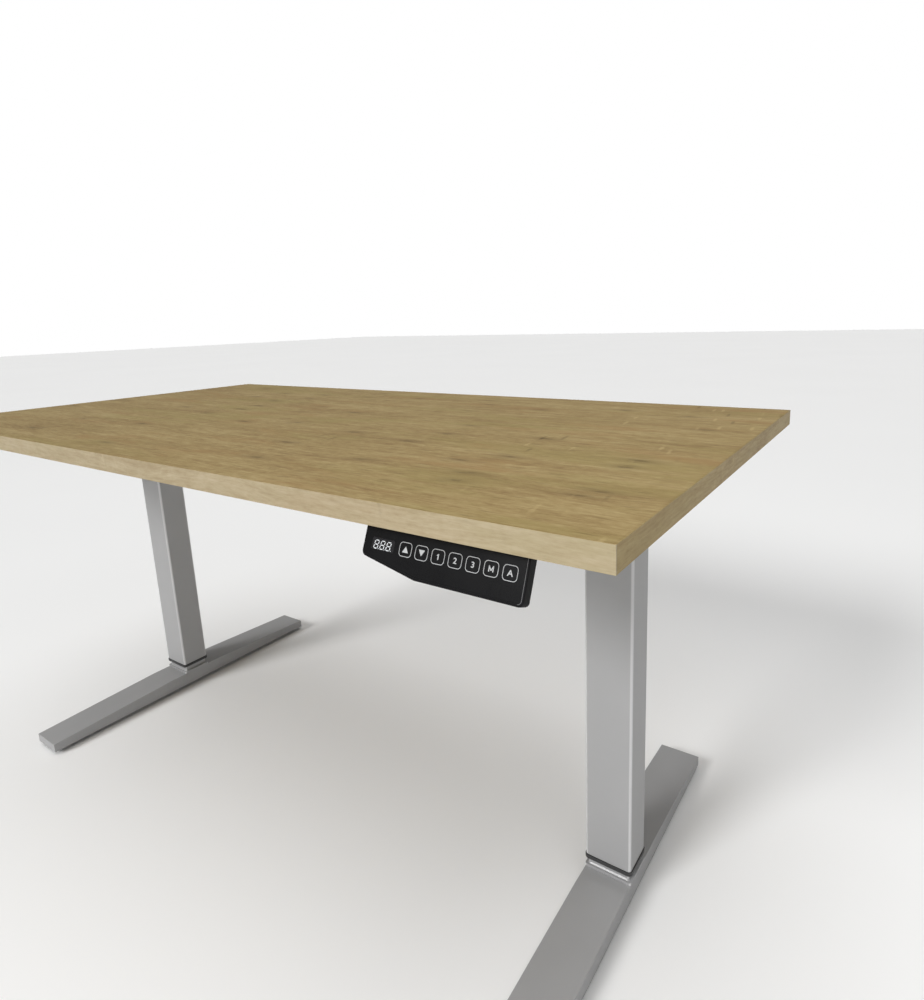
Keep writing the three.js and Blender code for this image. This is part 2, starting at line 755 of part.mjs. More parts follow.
// ---- Handset ------------------------------------------------------------------------------------
// Its own frame has the face in XZ, looking along -Y, with Z = 0 where it meets the underside.
const handsetRight = halfWidth - handsetInset;
const handsetLeft = handsetRight - handsetWidth;
const faceY = -halfDepth + handsetSetback;
const handset = new THREE.Group();
handset.position.set(0, faceY, topUnderside);
handset.rotation.x = -tilt;
handset.updateMatrix();
desk.add(handset);

// The face's outline, `inset` from its edges, up to `top`. The lower left edge slopes up to the left.
function faceOutline(inset, top) {
  const rake = Math.atan2(handsetDrop - handsetLeftDrop, handsetKnee);
  const [left, right, bottom] = [handsetLeft + inset, handsetRight - inset, -handsetDrop + inset];
  const leftBottom = -handsetLeftDrop - inset * Math.tan(rake) + inset / Math.cos(rake);
  const round = Math.max(handsetCorner - inset, 1);
  const knee = handsetLeft + handsetKnee;
  const shape = new THREE.Shape();
  shape.moveTo(right, top);
  shape.lineTo(left, top);
  shape.lineTo(left, leftBottom + round);
  shape.quadraticCurveTo(left, leftBottom, left + round, leftBottom - round * Math.tan(rake));
  shape.lineTo(knee, bottom);
  shape.lineTo(right - round, bottom);
  shape.quadraticCurveTo(right, bottom, right, bottom + round);
  shape.closePath();
  return shape;
}

const placed = (geometry) => geometry.applyMatrix4(handset.matrix);
const faceCurves = 4;
const level = topUnderside - gap;

function handsetBodyGeometry() {
  const over = handsetThickness; // above the underside, then cut level
  const tabX = [handsetLeft + tabInset, handsetRight - tabInset];
  const tabBack = faceY + tabDepth;
  const recess = faceOutline(panelInset - gap, -panelTopInset + gap);
  const pocket = faceOutline(panelInset + panelLedge, -panelTopInset - panelLedge);
  const pocketEnd = handsetThickness - handsetWall;
  const body = joined(
    placed(facePrism(faceOutline(0, over), 0, handsetThickness, faceCurves)),
    block(tabX, [faceY + handsetThickness / 2, tabBack], [level - tabThickness, level]),
  );
  const holes = [tabX[0] + screwHoleInset, tabX[1] - screwHoleInset].map((x) =>
    upright(screwHoleRadius, level - tabThickness - 1, level + 1, x, tabBack - screwHoleInset / 2),
  );
  return shaped(
    cutBy(
      body,
      placed(facePrism(recess, -1, panelThickness + gap, faceCurves)),
      placed(facePrism(pocket, -1, pocketEnd, faceCurves)),
      block([handsetLeft - 1, handsetRight + 1], [-halfDepth - 40, faceY + 60], [level, level + 40]),
      ...holes,
    ),
  );
}

const keyX = (i) => handsetLeft + displayInset + displayToKeys + i * keyPitch;
const displayX = handsetLeft + displayInset;

// A window or key outline with `room` round it, carried from y0 back to y1 and set at x.
function facePiece(width, height, corner, room, x, y0, y1) {
  const shape = roundedRectangle(width + 2 * room, height + 2 * room, corner + room);
  return facePrism(shape, y0, y1).translate(x, 0, -keyDrop);
}

function panelGeometry() {
  const sheet = solid(facePrism(faceOutline(panelInset, -panelTopInset), 0, panelThickness, faceCurves));
  const window = facePiece(displayWidth, displayHeight, displayCorner, gap, displayX, -1, panelThickness + 1);
  const keyHoles = keyNames.map((_, i) =>
    facePiece(keyWidth, keyHeight, keyCorner, gap, keyX(i), -1, panelThickness + 1),
  );
  return shaped(cutBy(sheet, window, ...keyHoles));
}

add(desk, "handset_body", handsetBodyGeometry(), blackPlastic);
add(handset, "handset_panel", panelGeometry(), panelPlastic);
add(
  handset,
  "handset_display",
  facePiece(displayWidth, displayHeight, displayCorner, 0, displayX, 0, displayDepth),
  displayGlass,
);
keyNames.forEach((key, i) => {
  const cap = facePiece(keyWidth, keyHeight, keyCorner, 0, keyX(i), -keyProud, keyDepth);
  add(handset, `key_${key}`, cap, panelPlastic);
});
const handsetBoardBack = handsetThickness - handsetWall - gap;
const handsetBoard = facePrism(
  faceOutline(panelInset + panelLedge + 1, -panelTopInset - panelLedge - 1),
  handsetBoardBack - handsetBoardThickness,
  handsetBoardBack,
  faceCurves,
);
add(handset, "handset_board", handsetBoard, circuitBoard);

// From the back of the handset, inboard of the arm, under the front rail and into the control box.
function handsetLeadGeometry() {
  const start = handsetLeft + handsetLeadStart;
  const behind = (depth) =>
    new THREE.Vector3(start, depth, -25).applyMatrix4(handset.matrix).toArray();
  const across = (share) => handsetLeadEnd + share * (start - handsetLeadEnd);
  const front = -railOffset;
  const underRail = armTop - railHeight - handsetLeadRadius - 2.8;
  const points = [
    behind(handsetThickness + gap),
    behind(handsetThickness + 7),
    [start, faceY + 21, topUnderside - 30.6],
    [start, faceY + 36, topUnderside - 21.6],
    [start - 2, faceY + 52, topUnderside - 11.6],
    [start - 8, faceY + 74, topUnderside - 4.6],
    [start - 30, faceY + 106, topUnderside - 3],
    [across(0.76), front - 95, topUnderside - 3],
    [across(0.54), front - 70, topUnderside - 3],
    [across(0.32), front - 58, topUnderside - 3],
    [across(0.14), front - 48, topUnderside - 4.6],
    [across(0.05), front - 38, topUnderside - 13.6],
    [handsetLeadEnd + 6, front - 24, underRail + 3.5],
    [handsetLeadEnd, front, underRail],
    [handsetLeadEnd, front + 22, underRail + 2],
    [handsetLeadEnd, front + 40, underRail + 9.5],
    [handsetLeadEnd, -boxDepth / 2 - 12, motorLeadZ],
    [handsetLeadEnd, -boxDepth / 2 + 8, motorLeadZ],
  ];
  return lead(points, handsetLeadRadius, 60);
}
add(desk, "handset_lead", handsetLeadGeometry(), rubber);

export default desk;
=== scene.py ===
import json
from math import atan2, cos, hypot, pi, radians, sin, tan

import bmesh
import bpy
from mathutils import Matrix, Vector


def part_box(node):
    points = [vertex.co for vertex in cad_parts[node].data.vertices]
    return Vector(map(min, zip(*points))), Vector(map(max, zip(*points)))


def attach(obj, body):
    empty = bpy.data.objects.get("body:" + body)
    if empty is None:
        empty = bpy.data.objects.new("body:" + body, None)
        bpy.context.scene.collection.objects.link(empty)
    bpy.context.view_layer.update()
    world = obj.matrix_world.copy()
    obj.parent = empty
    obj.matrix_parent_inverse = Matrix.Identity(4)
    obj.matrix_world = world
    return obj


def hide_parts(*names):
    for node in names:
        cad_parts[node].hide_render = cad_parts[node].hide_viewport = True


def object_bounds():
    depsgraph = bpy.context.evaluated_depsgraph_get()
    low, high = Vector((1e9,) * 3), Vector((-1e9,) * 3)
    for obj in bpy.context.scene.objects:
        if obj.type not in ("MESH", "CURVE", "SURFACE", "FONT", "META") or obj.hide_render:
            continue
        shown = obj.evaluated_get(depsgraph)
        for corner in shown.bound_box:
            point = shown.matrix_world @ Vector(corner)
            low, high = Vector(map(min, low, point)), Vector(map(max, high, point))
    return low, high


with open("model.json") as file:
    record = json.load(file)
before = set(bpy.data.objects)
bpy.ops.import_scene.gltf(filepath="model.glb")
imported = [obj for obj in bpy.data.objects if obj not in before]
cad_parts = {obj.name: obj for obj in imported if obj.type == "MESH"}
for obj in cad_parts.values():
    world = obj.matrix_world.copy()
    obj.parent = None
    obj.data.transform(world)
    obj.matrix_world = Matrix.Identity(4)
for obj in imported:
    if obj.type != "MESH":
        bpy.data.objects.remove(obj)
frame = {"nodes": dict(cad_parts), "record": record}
cad_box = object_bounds()

# ---- Camera -------------------------------------------------------------------------------------
# It stands a step in front of the desk's right-hand end, a little above the top, and looks across
# the front right corner at the handset and the right column.
front_right_corner = Vector((cad_box[1].x, cad_box[0].y, cad_box[1].z))
eye = front_right_corner + Vector((0.1824, -0.4265, 0.1710))
yaw, pitch, roll = radians(32.91), radians(11.72), radians(1.71)
forward = Vector((-sin(yaw) * cos(pitch), cos(yaw) * cos(pitch), -sin(pitch)))
level_right = forward.cross(Vector((0, 0, 1))).normalized()
level_down = forward.cross(level_right)
right = cos(roll) * level_right + sin(roll) * level_down
down = cos(roll) * level_down - sin(roll) * level_right
camera = bpy.data.objects.new("camera", bpy.data.cameras.new("camera"))
bpy.context.scene.collection.objects.link(camera)
camera.matrix_world = Matrix.Translation(eye) @ Matrix((right, -down, -forward)).transposed().to_4x4()
camera.data.sensor_width = 36
camera.data.lens = 22.82
camera.data.shift_x = -0.048
camera.data.shift_y = -0.05
camera.data.clip_start = 0.02
bpy.context.scene.camera = camera
bpy.context.scene.view_settings.view_transform = "Standard"

# ---- Studio -------------------------------------------------------------------------------------
# A pale floor that runs on to the horizon and a white surround, lit by a wide soft lamp in front of
# the desk on the left, another above it, and a small soft light over the front right corner.


class Wire:
    """A socket in a material. Sums on wires add Math nodes, and add() adds any other node."""

    def __init__(self, socket):
        self.socket = socket

    def add(self, kind, inputs, out=0, stops=None, **settings):
        node = self.socket.id_data.nodes.new(kind)
        for name, value in settings.items():
            setattr(node, name, value)
        if stops:
            ramp = node.color_ramp.elements
            while len(ramp) < len(stops):
                ramp.new(1)
            for element, (position, colour) in zip(ramp, stops):
                element.position = position
                element.color = (*colour, 1)
        for name, value in inputs.items():
            if isinstance(value, Wire):
                self.socket.id_data.links.new(value.socket, node.inputs[name])
            else:
                node.inputs[name].default_value = value
        return Wire(node.outputs[out])

    def sum(self, operation, first, second, **settings):
        return self.add("ShaderNodeMath", {0: first, 1: second}, operation=operation, **settings)

    def __add__(self, other):
        return self.sum("ADD", self, other)

    def __radd__(self, other):
        return self.sum("ADD", other, self)

    def __sub__(self, other):
        return self.sum("SUBTRACT", self, other)

    def __rsub__(self, other):
        return self.sum("SUBTRACT", other, self)

    def __mul__(self, other):
        return self.sum("MULTIPLY", self, other)

    def __rmul__(self, other):
        return self.sum("MULTIPLY", other, self)

    def clamped(self):
        return self.sum("ADD", self, 0.0, use_clamp=True)

    def between(self, low, high):
        """0 below low, 1 above high, and smooth from one to the other."""
        return self.add(
            "ShaderNodeMapRange",
            {"Value": self, "From Min": low, "From Max": high},
            interpolation_type="SMOOTHSTEP",
        )

    def placed(self, scale, turn=(0, 0, 0), shift=(0, 0, 0)):
        inputs = {"Vector": self, "Location": shift, "Rotation": turn, "Scale": scale}
        return self.add("ShaderNodeMapping", inputs)

    def noise(self, scale, detail=4.0, roughness=0.5):
        inputs = {"Vector": self, "Scale": scale, "Detail": detail, "Roughness": roughness}
        return self.add("ShaderNodeTexNoise", inputs)

    def mixed(self, first, second):
        """The first colour where this wire is 0, the second where it is 1."""
        return self.add("ShaderNodeMix", {0: self, 6: first, 7: second}, out=2, data_type="RGBA")

    def bump(self, height, depth):
        return self.add("ShaderNodeBump", {"Height": height, "Distance": depth, "Strength": 1.0})

    def drives(self, socket):
        self.socket.id_data.links.new(self.socket, socket)


def surface(name, colour, roughness, metallic=0.0, coat=0.0, specular=0.5):
    """A new material, the inputs of its shader, and the wire of its object coordinates."""
    material = bpy.data.materials.new(name)
    material.use_nodes = True
    shader = material.node_tree.nodes["Principled BSDF"].inputs
    shader["Base Color"].default_value = (*colour, 1)
    shader["Roughness"].default_value = roughness
    shader["Metallic"].default_value = metallic
    shader["Coat Weight"].default_value = coat
    shader["Specular IOR Level"].default_value = specular
    place = material.node_tree.nodes.new("ShaderNodeTexCoord").outputs["Object"]
    return material, shader, Wire(place)


studio_floor, shader, place = surface("studio_floor", (0.90, 0.90, 0.895), 0.7, specular=0.2)
cloud = place.noise(0.6, detail=2.0)
cloud.mixed((0.885, 0.885, 0.88, 1), (0.915, 0.915, 0.91, 1)).drives(shader["Base Color"])
bm = bmesh.new()
bmesh.ops.create_grid(bm, x_segments=4, y_segments=4, size=30)
floor = bpy.data.objects.new("floor", bpy.data.meshes.new("floor"))
bm.to_mesh(floor.data)
bm.free()
floor.data.materials.append(studio_floor)
bpy.context.scene.collection.objects.link(floor)

surround = bpy.data.worlds.new("surround")
bpy.context.scene.world = surround
surround.use_nodes = True
nodes = surround.node_tree.nodes
seen = nodes.new("ShaderNodeBackground")
seen.inputs["Color"].default_value = (1, 1, 1, 1)
lighting = nodes["Background"]
lighting.inputs["Color"].default_value = (1, 1, 1, 1)
lighting.inputs["Strength"].default_value = 0.25
choice = nodes.new("ShaderNodeMixShader")
links = surround.node_tree.links
links.new(nodes.new("ShaderNodeLightPath").outputs["Is Camera Ray"], choice.inputs[0])
links.new(lighting.outputs[0], choice.inputs[1])
links.new(seen.outputs[0], choice.inputs[2])
links.new(choice.outputs[0], nodes["World Output"].inputs["Surface"])


def wide_lamp(name, towards, softness, strength):
    """A far, wide lamp that shines in the direction given. Softness is its apparent size in degrees."""
    lamp = bpy.data.objects.new(name, bpy.data.lights.new(name, "SUN"))
    lamp.data.energy = strength
    lamp.data.angle = radians(softness)
    lamp.rotation_euler = Vector(towards).to_track_quat("-Z", "Y").to_euler()
    bpy.context.scene.collection.objects.link(lamp)


wide_lamp("front_lamp", (0.25, 0.77, -0.50), 20, 1.98)
wide_lamp("top_lamp", (0.0, 0.1, -1.0), 60, 1.15)
corner_light = bpy.data.objects.new("corner_light", bpy.data.lights.new("corner_light", "AREA"))
corner_light.data.size = 1.0
corner_light.data.energy = 6.5
corner_light.location = front_right_corner + Vector((0.5, -0.5, 1.2))
corner_light.rotation_euler = (front_right_corner - corner_light.location).to_track_quat("-Z", "Y").to_euler()
bpy.context.scene.collection.objects.link(corner_light)

# ---- Work surface: board ------------------------------------------------------------------------
# Chipboard faced with a matt oak-pattern laminate, cut square. The pattern runs along the desk:
# broad soft streaks, fine grain and pores, a few dark knots, and short ticks across the grain.


def oak(name, pale, tan, brown, turn=(0, 0, 0), figure=1.0):
    """The oak pattern, with its grain along X in its own plane. The colours go from pale to dark, and
    figure is how strongly the knots, flecks and ticks show."""
    material, shader, place = surface(name, tan, 0.5, specular=0.12)
    flat = place.placed((1, 1, 1), turn=turn)
    sway = (flat.placed((3.0, 9.0, 9.0)).noise(1.0, detail=3.0) - 0.5) * 0.030
    shift = flat.add("ShaderNodeCombineXYZ", {"Y": sway})
    grain = flat.add("ShaderNodeVectorMath", {0: flat, 1: shift}, operation="ADD")

    def streaks(along, across, detail, at=(0, 0, 0)):
        return grain.placed((along, across, 1.0), shift=at).noise(1.0, detail=detail, roughness=0.62)

    def scattered(source, along, across, share):
        """The distance to the nearest of a few points strewn over the plane, which of them to keep, and
        a number of its own for each."""
        cell = source.placed((along, across, 1.0))
        inputs = {"Vector": cell, "Scale": 1.0, "Randomness": 1.0}
        near = cell.add("ShaderNodeTexVoronoi", inputs, voronoi_dimensions="2D")
        dice = cell.add("ShaderNodeTexVoronoi", inputs, out=1, voronoi_dimensions="2D")
        red = dice.add("ShaderNodeSeparateColor", {"Color": dice})
        own = dice.add("ShaderNodeSeparateColor", {"Color": dice}, out=1)
        return near, 1.0 - red.between(share - 0.02, share + 0.02), own

    broad = streaks(2.6, 22.0, 4.0)
    band = streaks(8.0, 76.0, 5.0, (3, 1, 0))
    line = streaks(34.0, 330.0, 4.0, (5, 2, 0))
    fibre = streaks(140.0, 1100.0, 3.0, (1, 7, 0))
    mottle = streaks(80.0, 170.0, 3.0, (2, 2, 0))
    tone = broad * 0.19 + band * 0.24 + line * 0.28 + fibre * 0.13 + mottle * 0.16
    colour = tone.add("ShaderNodeValToRGB", {"Fac": tone}, stops=[(0.415, pale), (0.50, tan), (0.60, brown)])
    olive = (tan[0] * 0.90, tan[1] * 0.99, tan[2] * 0.84)
    russet = (tan[0] * 0.94, tan[1] * 0.80, tan[2] * 0.76)
    patch = streaks(2.6, 12.0, 4.0, (7, 3, 0)).between(0.50, 0.66) * (0.45 * figure)
    colour = patch.mixed(colour, (*olive, 1))
    patch = streaks(4.2, 19.0, 5.0, (2, 9, 0)).between(0.52, 0.70) * (0.55 * figure * figure)
    colour = patch.mixed(colour, (*russet, 1))
    dark = tuple(c * 0.42 for c in brown)
    cream = tuple(c * 1.22 for c in pale)
    pores = streaks(160.0, 1900.0, 2.0).between(0.60, 0.74)
    dash, kept, _ = scattered(grain, 18.0, 130.0, 0.30)
    dashes = (1.0 - (dash + (fibre - 0.5) * 0.5).between(0.05, 0.30)) * kept
    fleck, kept, own = scattered(grain, 6.4, 19.0, 0.42)
    ragged = fleck + (mottle - 0.5) * 0.26 + (line - 0.5) * 0.30 + own * 0.05
    flecks = (1.0 - ragged.between(0.0, 0.13)) * kept
    rings = (1.0 - ragged.between(0.04, 0.34)) * kept
    # Short pale and dark strokes across the grain, in loose groups.
    group = flat.placed((3.1, 5.0, 1.0), shift=(4.3, 1.2, 0)).noise(1.0, detail=2.0).between(0.49, 0.58)
    stroke, kept, own = scattered(flat.placed((1, 1, 1), turn=(0, 0, radians(-7))), 62.0, 11.0, 0.32)
    rays = (1.0 - (stroke + (mottle - 0.5) * 0.4).between(0.06, 0.24)) * kept * group
    pale_rays = rays * own.between(0.35, 0.45)
    dark_rays = rays - pale_rays
    darkened = pores * 0.20 + (dashes * 0.26 + rings * 0.24 + dark_rays * 0.40 + flecks * 0.42) * figure
    colour = darkened.clamped().mixed(colour, (*dark, 1))
    colour = (pale_rays * (0.48 * figure)).mixed(colour, (*cream, 1))
    colour.drives(shader["Base Color"])
    (0.44 + line * 0.10 + pores * 0.12).drives(shader["Roughness"])
    relief = 0.0 - pores * 0.6 - fibre * 0.3 - flecks * 0.4
    place.bump(relief, 0.00008).drives(shader["Normal"])
    return material


oak_top = oak("oak_top", (0.406, 0.309, 0.149), (0.325, 0.236, 0.102), (0.231, 0.151, 0.064))
board = frame["nodes"]["desktop_board"]
board.data.materials.clear()
board.data.materials.append(oak_top)

# ---- Work surface: edge bands -------------------------------------------------------------------
# Two-millimetre bands glued to the four edges of the board under its laminate, and scraped flush.
# The front and rear bands are a paler oak. The end ones are a darker, browner copy of the same
# band, near the top's tone, which partly paints the shade that falls on the ends.
pale_tones = (0.456, 0.377, 0.252), (0.406, 0.331, 0.209), (0.339, 0.266, 0.158)
oak_edge = oak("oak_edge", *pale_tones, turn=(radians(-90), 0, 0), figure=0.45)
# Darker, browner end tones: partly painted shade on the ends that face away from the lamps.
shaded_end_tones = (0.418, 0.325, 0.167), (0.364, 0.272, 0.130), (0.281, 0.194, 0.087)
shaded_end_oak = oak("shaded_end_oak", *shaded_end_tones, turn=(radians(-90), radians(-90), 0), figure=0.45)
band_round = 0.0003


def block(low, high):
    """A box between two corners."""
    bm = bmesh.new()
    bmesh.ops.create_cube(bm, size=1)
    bmesh.ops.scale(bm, vec=[b - a for a, b in zip(low, high)], verts=bm.verts)
    bmesh.ops.translate(bm, vec=[(a + b) / 2 for a, b in zip(low, high)], verts=bm.verts)
    return bm


def rounded(bm, edges, radius, segments=2):
    bmesh.ops.bevel(
        bm,
        geom=edges,
        offset=radius,
        segments=segments,
        profile=0.5,
        affect="EDGES",
        material=-1,
        clamp_overlap=True,
    )


def brick(low, high, edge):
    """A box between two corners with all its edges rounded."""
    bm = block(low, high)
    rounded(bm, bm.edges[:], edge)
    return bm


def piece(name, bm, material, body, stands_for=(), sharp=35.0, lining=None):
    """The bmesh as a finished piece of the desk, shaded smooth up to the angle given in degrees. Faces
    whose material index is 1 get the lining."""
    bmesh.ops.remove_doubles(bm, verts=bm.verts, dist=1e-6)
    for face in bm.faces:
        face.smooth = True
    for edge in bm.edges:
        edge.smooth = len(edge.link_faces) == 2 and edge.calc_face_angle(pi) < radians(sharp)
    mesh = bpy.data.meshes.new(name)
    bm.to_mesh(mesh)
    bm.free()
    made = bpy.data.objects.new(name, mesh)
    bpy.context.scene.collection.objects.link(made)
    mesh.materials.append(material)
    if lining:
        mesh.materials.append(lining)
    normals = made.modifiers.new("even_normals", "WEIGHTED_NORMAL")
    normals.keep_sharp = True
    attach(made, body)
    if stands_for:
        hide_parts(*stands_for)
    return made


for side, finish in (("front", oak_edge), ("rear", oak_edge), ("left", shaded_end_oak), ("right", shaded_end_oak)):
    node = f"edge_band_{side}"
    band = brick(*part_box(node), band_round)
    for face in band.faces:
        face.material_index = 1 if abs(face.normal.z) > 0.9 else 0
    piece(f"{side}_band", band, finish, "top", [node], lining=oak_top)

# ---- Powder-coated steel ------------------------------------------------------------------------
# The tubes, arms, rails and feet are welded steel in a light grey powder coat, which dries with a
# very fine orange-peel texture.


def powder_coat(name, colour, corner_highlight=0.0):
    """Grey powder coat. The last argument is how strongly a painted highlight lightens the rolled corners."""
    material, shader, place = surface(name, colour, 0.42, metallic=0.15, specular=0.5)
    peel = place.noise(1400.0, detail=2.0)
    ripple = place.noise(260.0, detail=2.0)
    haze = place.noise(9.0, detail=3.0)
    darker = tuple(c * 0.965 for c in colour)
    coat = haze.between(0.35, 0.65).mixed((*darker, 1), (*colour, 1))
    # Painted highlight: the rolled corners, where the normal faces between two sides, are mixed towards pale
    # grey.
    if corner_highlight:
        facing = place.add("ShaderNodeNewGeometry", {}, out=1)
        across = facing.add("ShaderNodeSeparateXYZ", {"Vector": facing})
        along = facing.add("ShaderNodeSeparateXYZ", {"Vector": facing}, out=1)
        corner_highlight_mask = across * along
        corner_highlight_mask = corner_highlight_mask.sum("ABSOLUTE", corner_highlight_mask, 0.0)
        coat = (corner_highlight_mask.between(0.10, 0.45) * corner_highlight).mixed(coat, (0.75, 0.75, 0.755, 1))
    coat.drives(shader["Base Color"])
    (0.37 + haze * 0.08 + peel * 0.05).drives(shader["Roughness"])
    place.bump(peel * 0.6 + ripple * 0.8, 0.00005).drives(shader["Normal"])
    return material


grey_paint = powder_coat("grey_paint", (0.375, 0.375, 0.378))
# The tubes' coat carries a painted highlight on its rolled corners.
tube_paint_highlighted = powder_coat("tube_paint_highlighted", (0.385, 0.385, 0.388), corner_highlight=0.65)

# ---- Column tubes -------------------------------------------------------------------------------
# Rectangular steel tube with rolled corners. The outer tube hangs from the column's head, and the
# inner one slides in it and stands on the plate welded to its foot.


def upright_edges(bm):
    return [e for e in bm.edges if abs(e.verts[0].co.z - e.verts[1].co.z) > 1e-6]


def sharp_edges(bm, degrees=60.0):
    return [e for e in bm.edges if e.calc_face_angle(0) > radians(degrees)]


def rounded_bar(low, high, corner, rim=0.0004):
    """An upright bar between two corners, its standing edges rounded by corner and its ends by rim."""
    bm = block(low, high)
    rounded(bm, upright_edges(bm), corner, segments=8)
    if rim:
        rounded(bm, sharp_edges(bm), rim)
    return bm


def rounded_tube(low, high, corner, wall, rim=0.0004):
    """The same bar with a bore right through it, which leaves a wall all round."""
    bm = rounded_bar(low, high, corner, rim=0)
    ends = [f for f in bm.faces if abs(f.normal.z) > 0.9]
    bmesh.ops.inset_region(bm, faces=ends, thickness=wall, use_even_offset=True)
    loops = [e for f in ends for e in f.edges]
    bmesh.ops.delete(bm, geom=ends, context="FACES_ONLY")
    bmesh.ops.bridge_loops(bm, edges=loops)
    bmesh.ops.recalc_face_normals(bm, faces=bm.faces)
    rounded(bm, sharp_edges(bm), rim)
    return bm


def joined(*parts):
    """Several bmeshes as one."""
    whole = bmesh.new()
    for part in parts:
        mesh = bpy.data.meshes.new("part")
        part.to_mesh(mesh)
        part.free()
        whole.from_mesh(mesh)
        bpy.data.meshes.remove(mesh)
    return whole


outer_corner, inner_corner, tube_wall = 0.005, 0.003, 0.002
plate_margin, plate_thickness, plate_corner = 0.005, 0.005, 0.004
weld_leg, weld_height, weld_overlap = 0.0018, 0.0020, 0.0002
for side in ("right", "left"):
    low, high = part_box(f"{side}_outer_tube")
    tube = rounded_tube(low, high, outer_corner, tube_wall)
    piece(f"{side}_upper_tube", tube, tube_paint_highlighted, "top", [f"{side}_outer_tube"])

    low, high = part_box(f"{side}_inner_tube")
    plate = rounded_bar(low, (high.x, high.y, low.z + plate_thickness), plate_corner, 0.0006)
    tube_low = low + Vector((plate_margin, plate_margin, plate_thickness))
    tube_high = high - Vector((plate_margin, plate_margin, 0))
    tube = rounded_tube(tube_low, tube_high, inner_corner, tube_wall)
    # The fillet weld where the tube meets the plate.
    weld_low = tube_low - Vector((weld_leg, weld_leg, weld_overlap))
    weld_high = Vector((tube_high.x + weld_leg, tube_high.y + weld_leg, tube_low.z + weld_height))
    weld = rounded_bar(weld_low, weld_high, plate_corner, rim=0)
    middle = (weld_low + weld_high) / 2
    for vertex in weld.verts:
        if vertex.co.z > middle.z:
            vertex.co.x -= weld_leg if vertex.co.x > middle.x else -weld_leg
            vertex.co.y -= weld_leg if vertex.co.y > middle.y else -weld_leg
    tube = joined(plate, tube, weld)
    piece(f"{side}_lower_tube", tube, tube_paint_highlighted, f"{side}_lower", [f"{side}_inner_tube"])

# ---- Arms, rails and feet -----------------------------------------------------------------------
# Folded and welded sheet steel in the same powder coat, its edges broken before it was coated. The
# arms and feet are open below; the rails are tubes with a flange welded to each end.


def softened(node, edge, segments=2):
    """A copy of a shape in the frame with its edges rounded."""
    bm = bmesh.new()
    bm.from_mesh(frame["nodes"][node].data)
    bmesh.ops.remove_doubles(bm, verts=bm.verts, dist=1e-6)
    bmesh.ops.dissolve_limit(bm, angle_limit=radians(0.6), verts=bm.verts, edges=bm.edges)
    if edge:
        rounded(bm, sharp_edges(bm, 30.0), edge, segments)
    return bm


for side in ("right", "left"):
    arm = softened(f"{side}_arm", 0.0006)
    piece(f"{side}_top_arm", arm, grey_paint, "top", [f"{side}_arm"])
    foot = softened(f"{side}_foot", 0.0008)
    piece(f"{side}_floor_foot", foot, grey_paint, f"{side}_lower", [f"{side}_foot"])
for place_name in ("front", "rear"):
    rail = softened(f"{place_name}_rail", 0.0005)
    piece(f"{place_name}_cross_rail", rail, grey_paint, "top", [f"{place_name}_rail"])

# ---- Bolts and wood screws ----------------------------------------------------------------------
# Zinc-plated button-head bolts hold the flanges to the arms and the columns to the feet, and
# pan-head wood screws hold the frame, the control box and the handset to the board.
zinc, shader, place = surface("bright_zinc", (0.60, 0.61, 0.62), 0.3, metallic=1.0)
bloom = place.noise(220.0, detail=3.0)
bloom.mixed((0.50, 0.51, 0.54, 1), (0.68, 0.67, 0.64, 1)).drives(shader["Base Color"])
(0.24 + bloom * 0.2).drives(shader["Roughness"])
place.bump(place.noise(900.0, detail=2.0), 0.00004).drives(shader["Normal"])


def turned(profile, steps=32):
    """A profile of (radius, height) points, from the axis out and back to it, spun about Z."""
    bm = bmesh.new()
    line = [bm.verts.new((r, 0, z)) for r, z in profile]
    edges = [bm.edges.new(pair) for pair in zip(line, line[1:])]
    bmesh.ops.spin(
        bm,
        geom=line + edges,
        cent=(0, 0, 0),
        axis=(0, 0, 1),
        angle=2 * pi,
        steps=steps,
        use_merge=True,
    )
    bmesh.ops.remove_doubles(bm, verts=bm.verts, dist=1e-6)
    bmesh.ops.recalc_face_normals(bm, faces=bm.faces)
    return bm


def screw_head(radius, height, at, towards):
    """A button head with a six-sided socket. It stands at a point and its top faces the direction given."""
    socket = 0.42 * radius
    profile = [(0, 0), (radius, 0), (radius, 0.25 * height), (0.9 * radius, 0.62 * height)]
    profile += [(0.7 * radius, 0.9 * height), (0.52 * radius, height), (socket, height)]
    profile += [(socket, 0.4 * height), (0, 0.4 * height)]
    bm = turned(profile, 24)
    for vertex in bm.verts:
        reach = hypot(vertex.co.x, vertex.co.y)
        if abs(reach - socket) < 1e-6:
            side_angle = (atan2(vertex.co.y, vertex.co.x) % (pi / 3)) - pi / 6
            vertex.co.xy *= 0.92 / cos(side_angle)
    turn = Vector(towards).to_track_quat("Z", "Y").to_matrix().to_4x4()
    bmesh.ops.transform(bm, matrix=Matrix.Translation(at) @ turn, verts=bm.verts)
    return bm


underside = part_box("desktop_board")[0].z
downwards = (0, 0, -1)
sheet = 0.0025
wood_screw, flange_bolt, foot_bolt = (0.0045, 0.0024), (0.0042, 0.0028), (0.0052, 0.0034)
arm_screws = (-0.27, -0.19, -0.085, 0.085, 0.19, 0.27)
flange_reach, bolt_across = 0.004, 0.0255
ear_screw_x, ear_screw_inset = 0.082, 0.007
tab_inset, tab_screw_from_back, tab_depth = 0.030, 0.009, 0.004
heads = []
for side in ("right", "left"):
    low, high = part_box(f"{side}_arm")
    for y in arm_screws:
        heads.append(screw_head(*wood_screw, ((low.x + high.x) / 2, y, high.z - sheet), downwards))
for place_name in ("front", "rear"):
    low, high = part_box(f"{place_name}_rail")
    y, z = (low.y + high.y) / 2, (low.z + high.z) / 2
    for x, inboard in ((low.x + flange_reach, 1), (high.x - flange_reach, -1)):
        for across in (-bolt_across, bolt_across):
            heads.append(screw_head(*flange_bolt, (x, y + across, z), (inboard, 0, 0)))
low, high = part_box("control_box_lid")
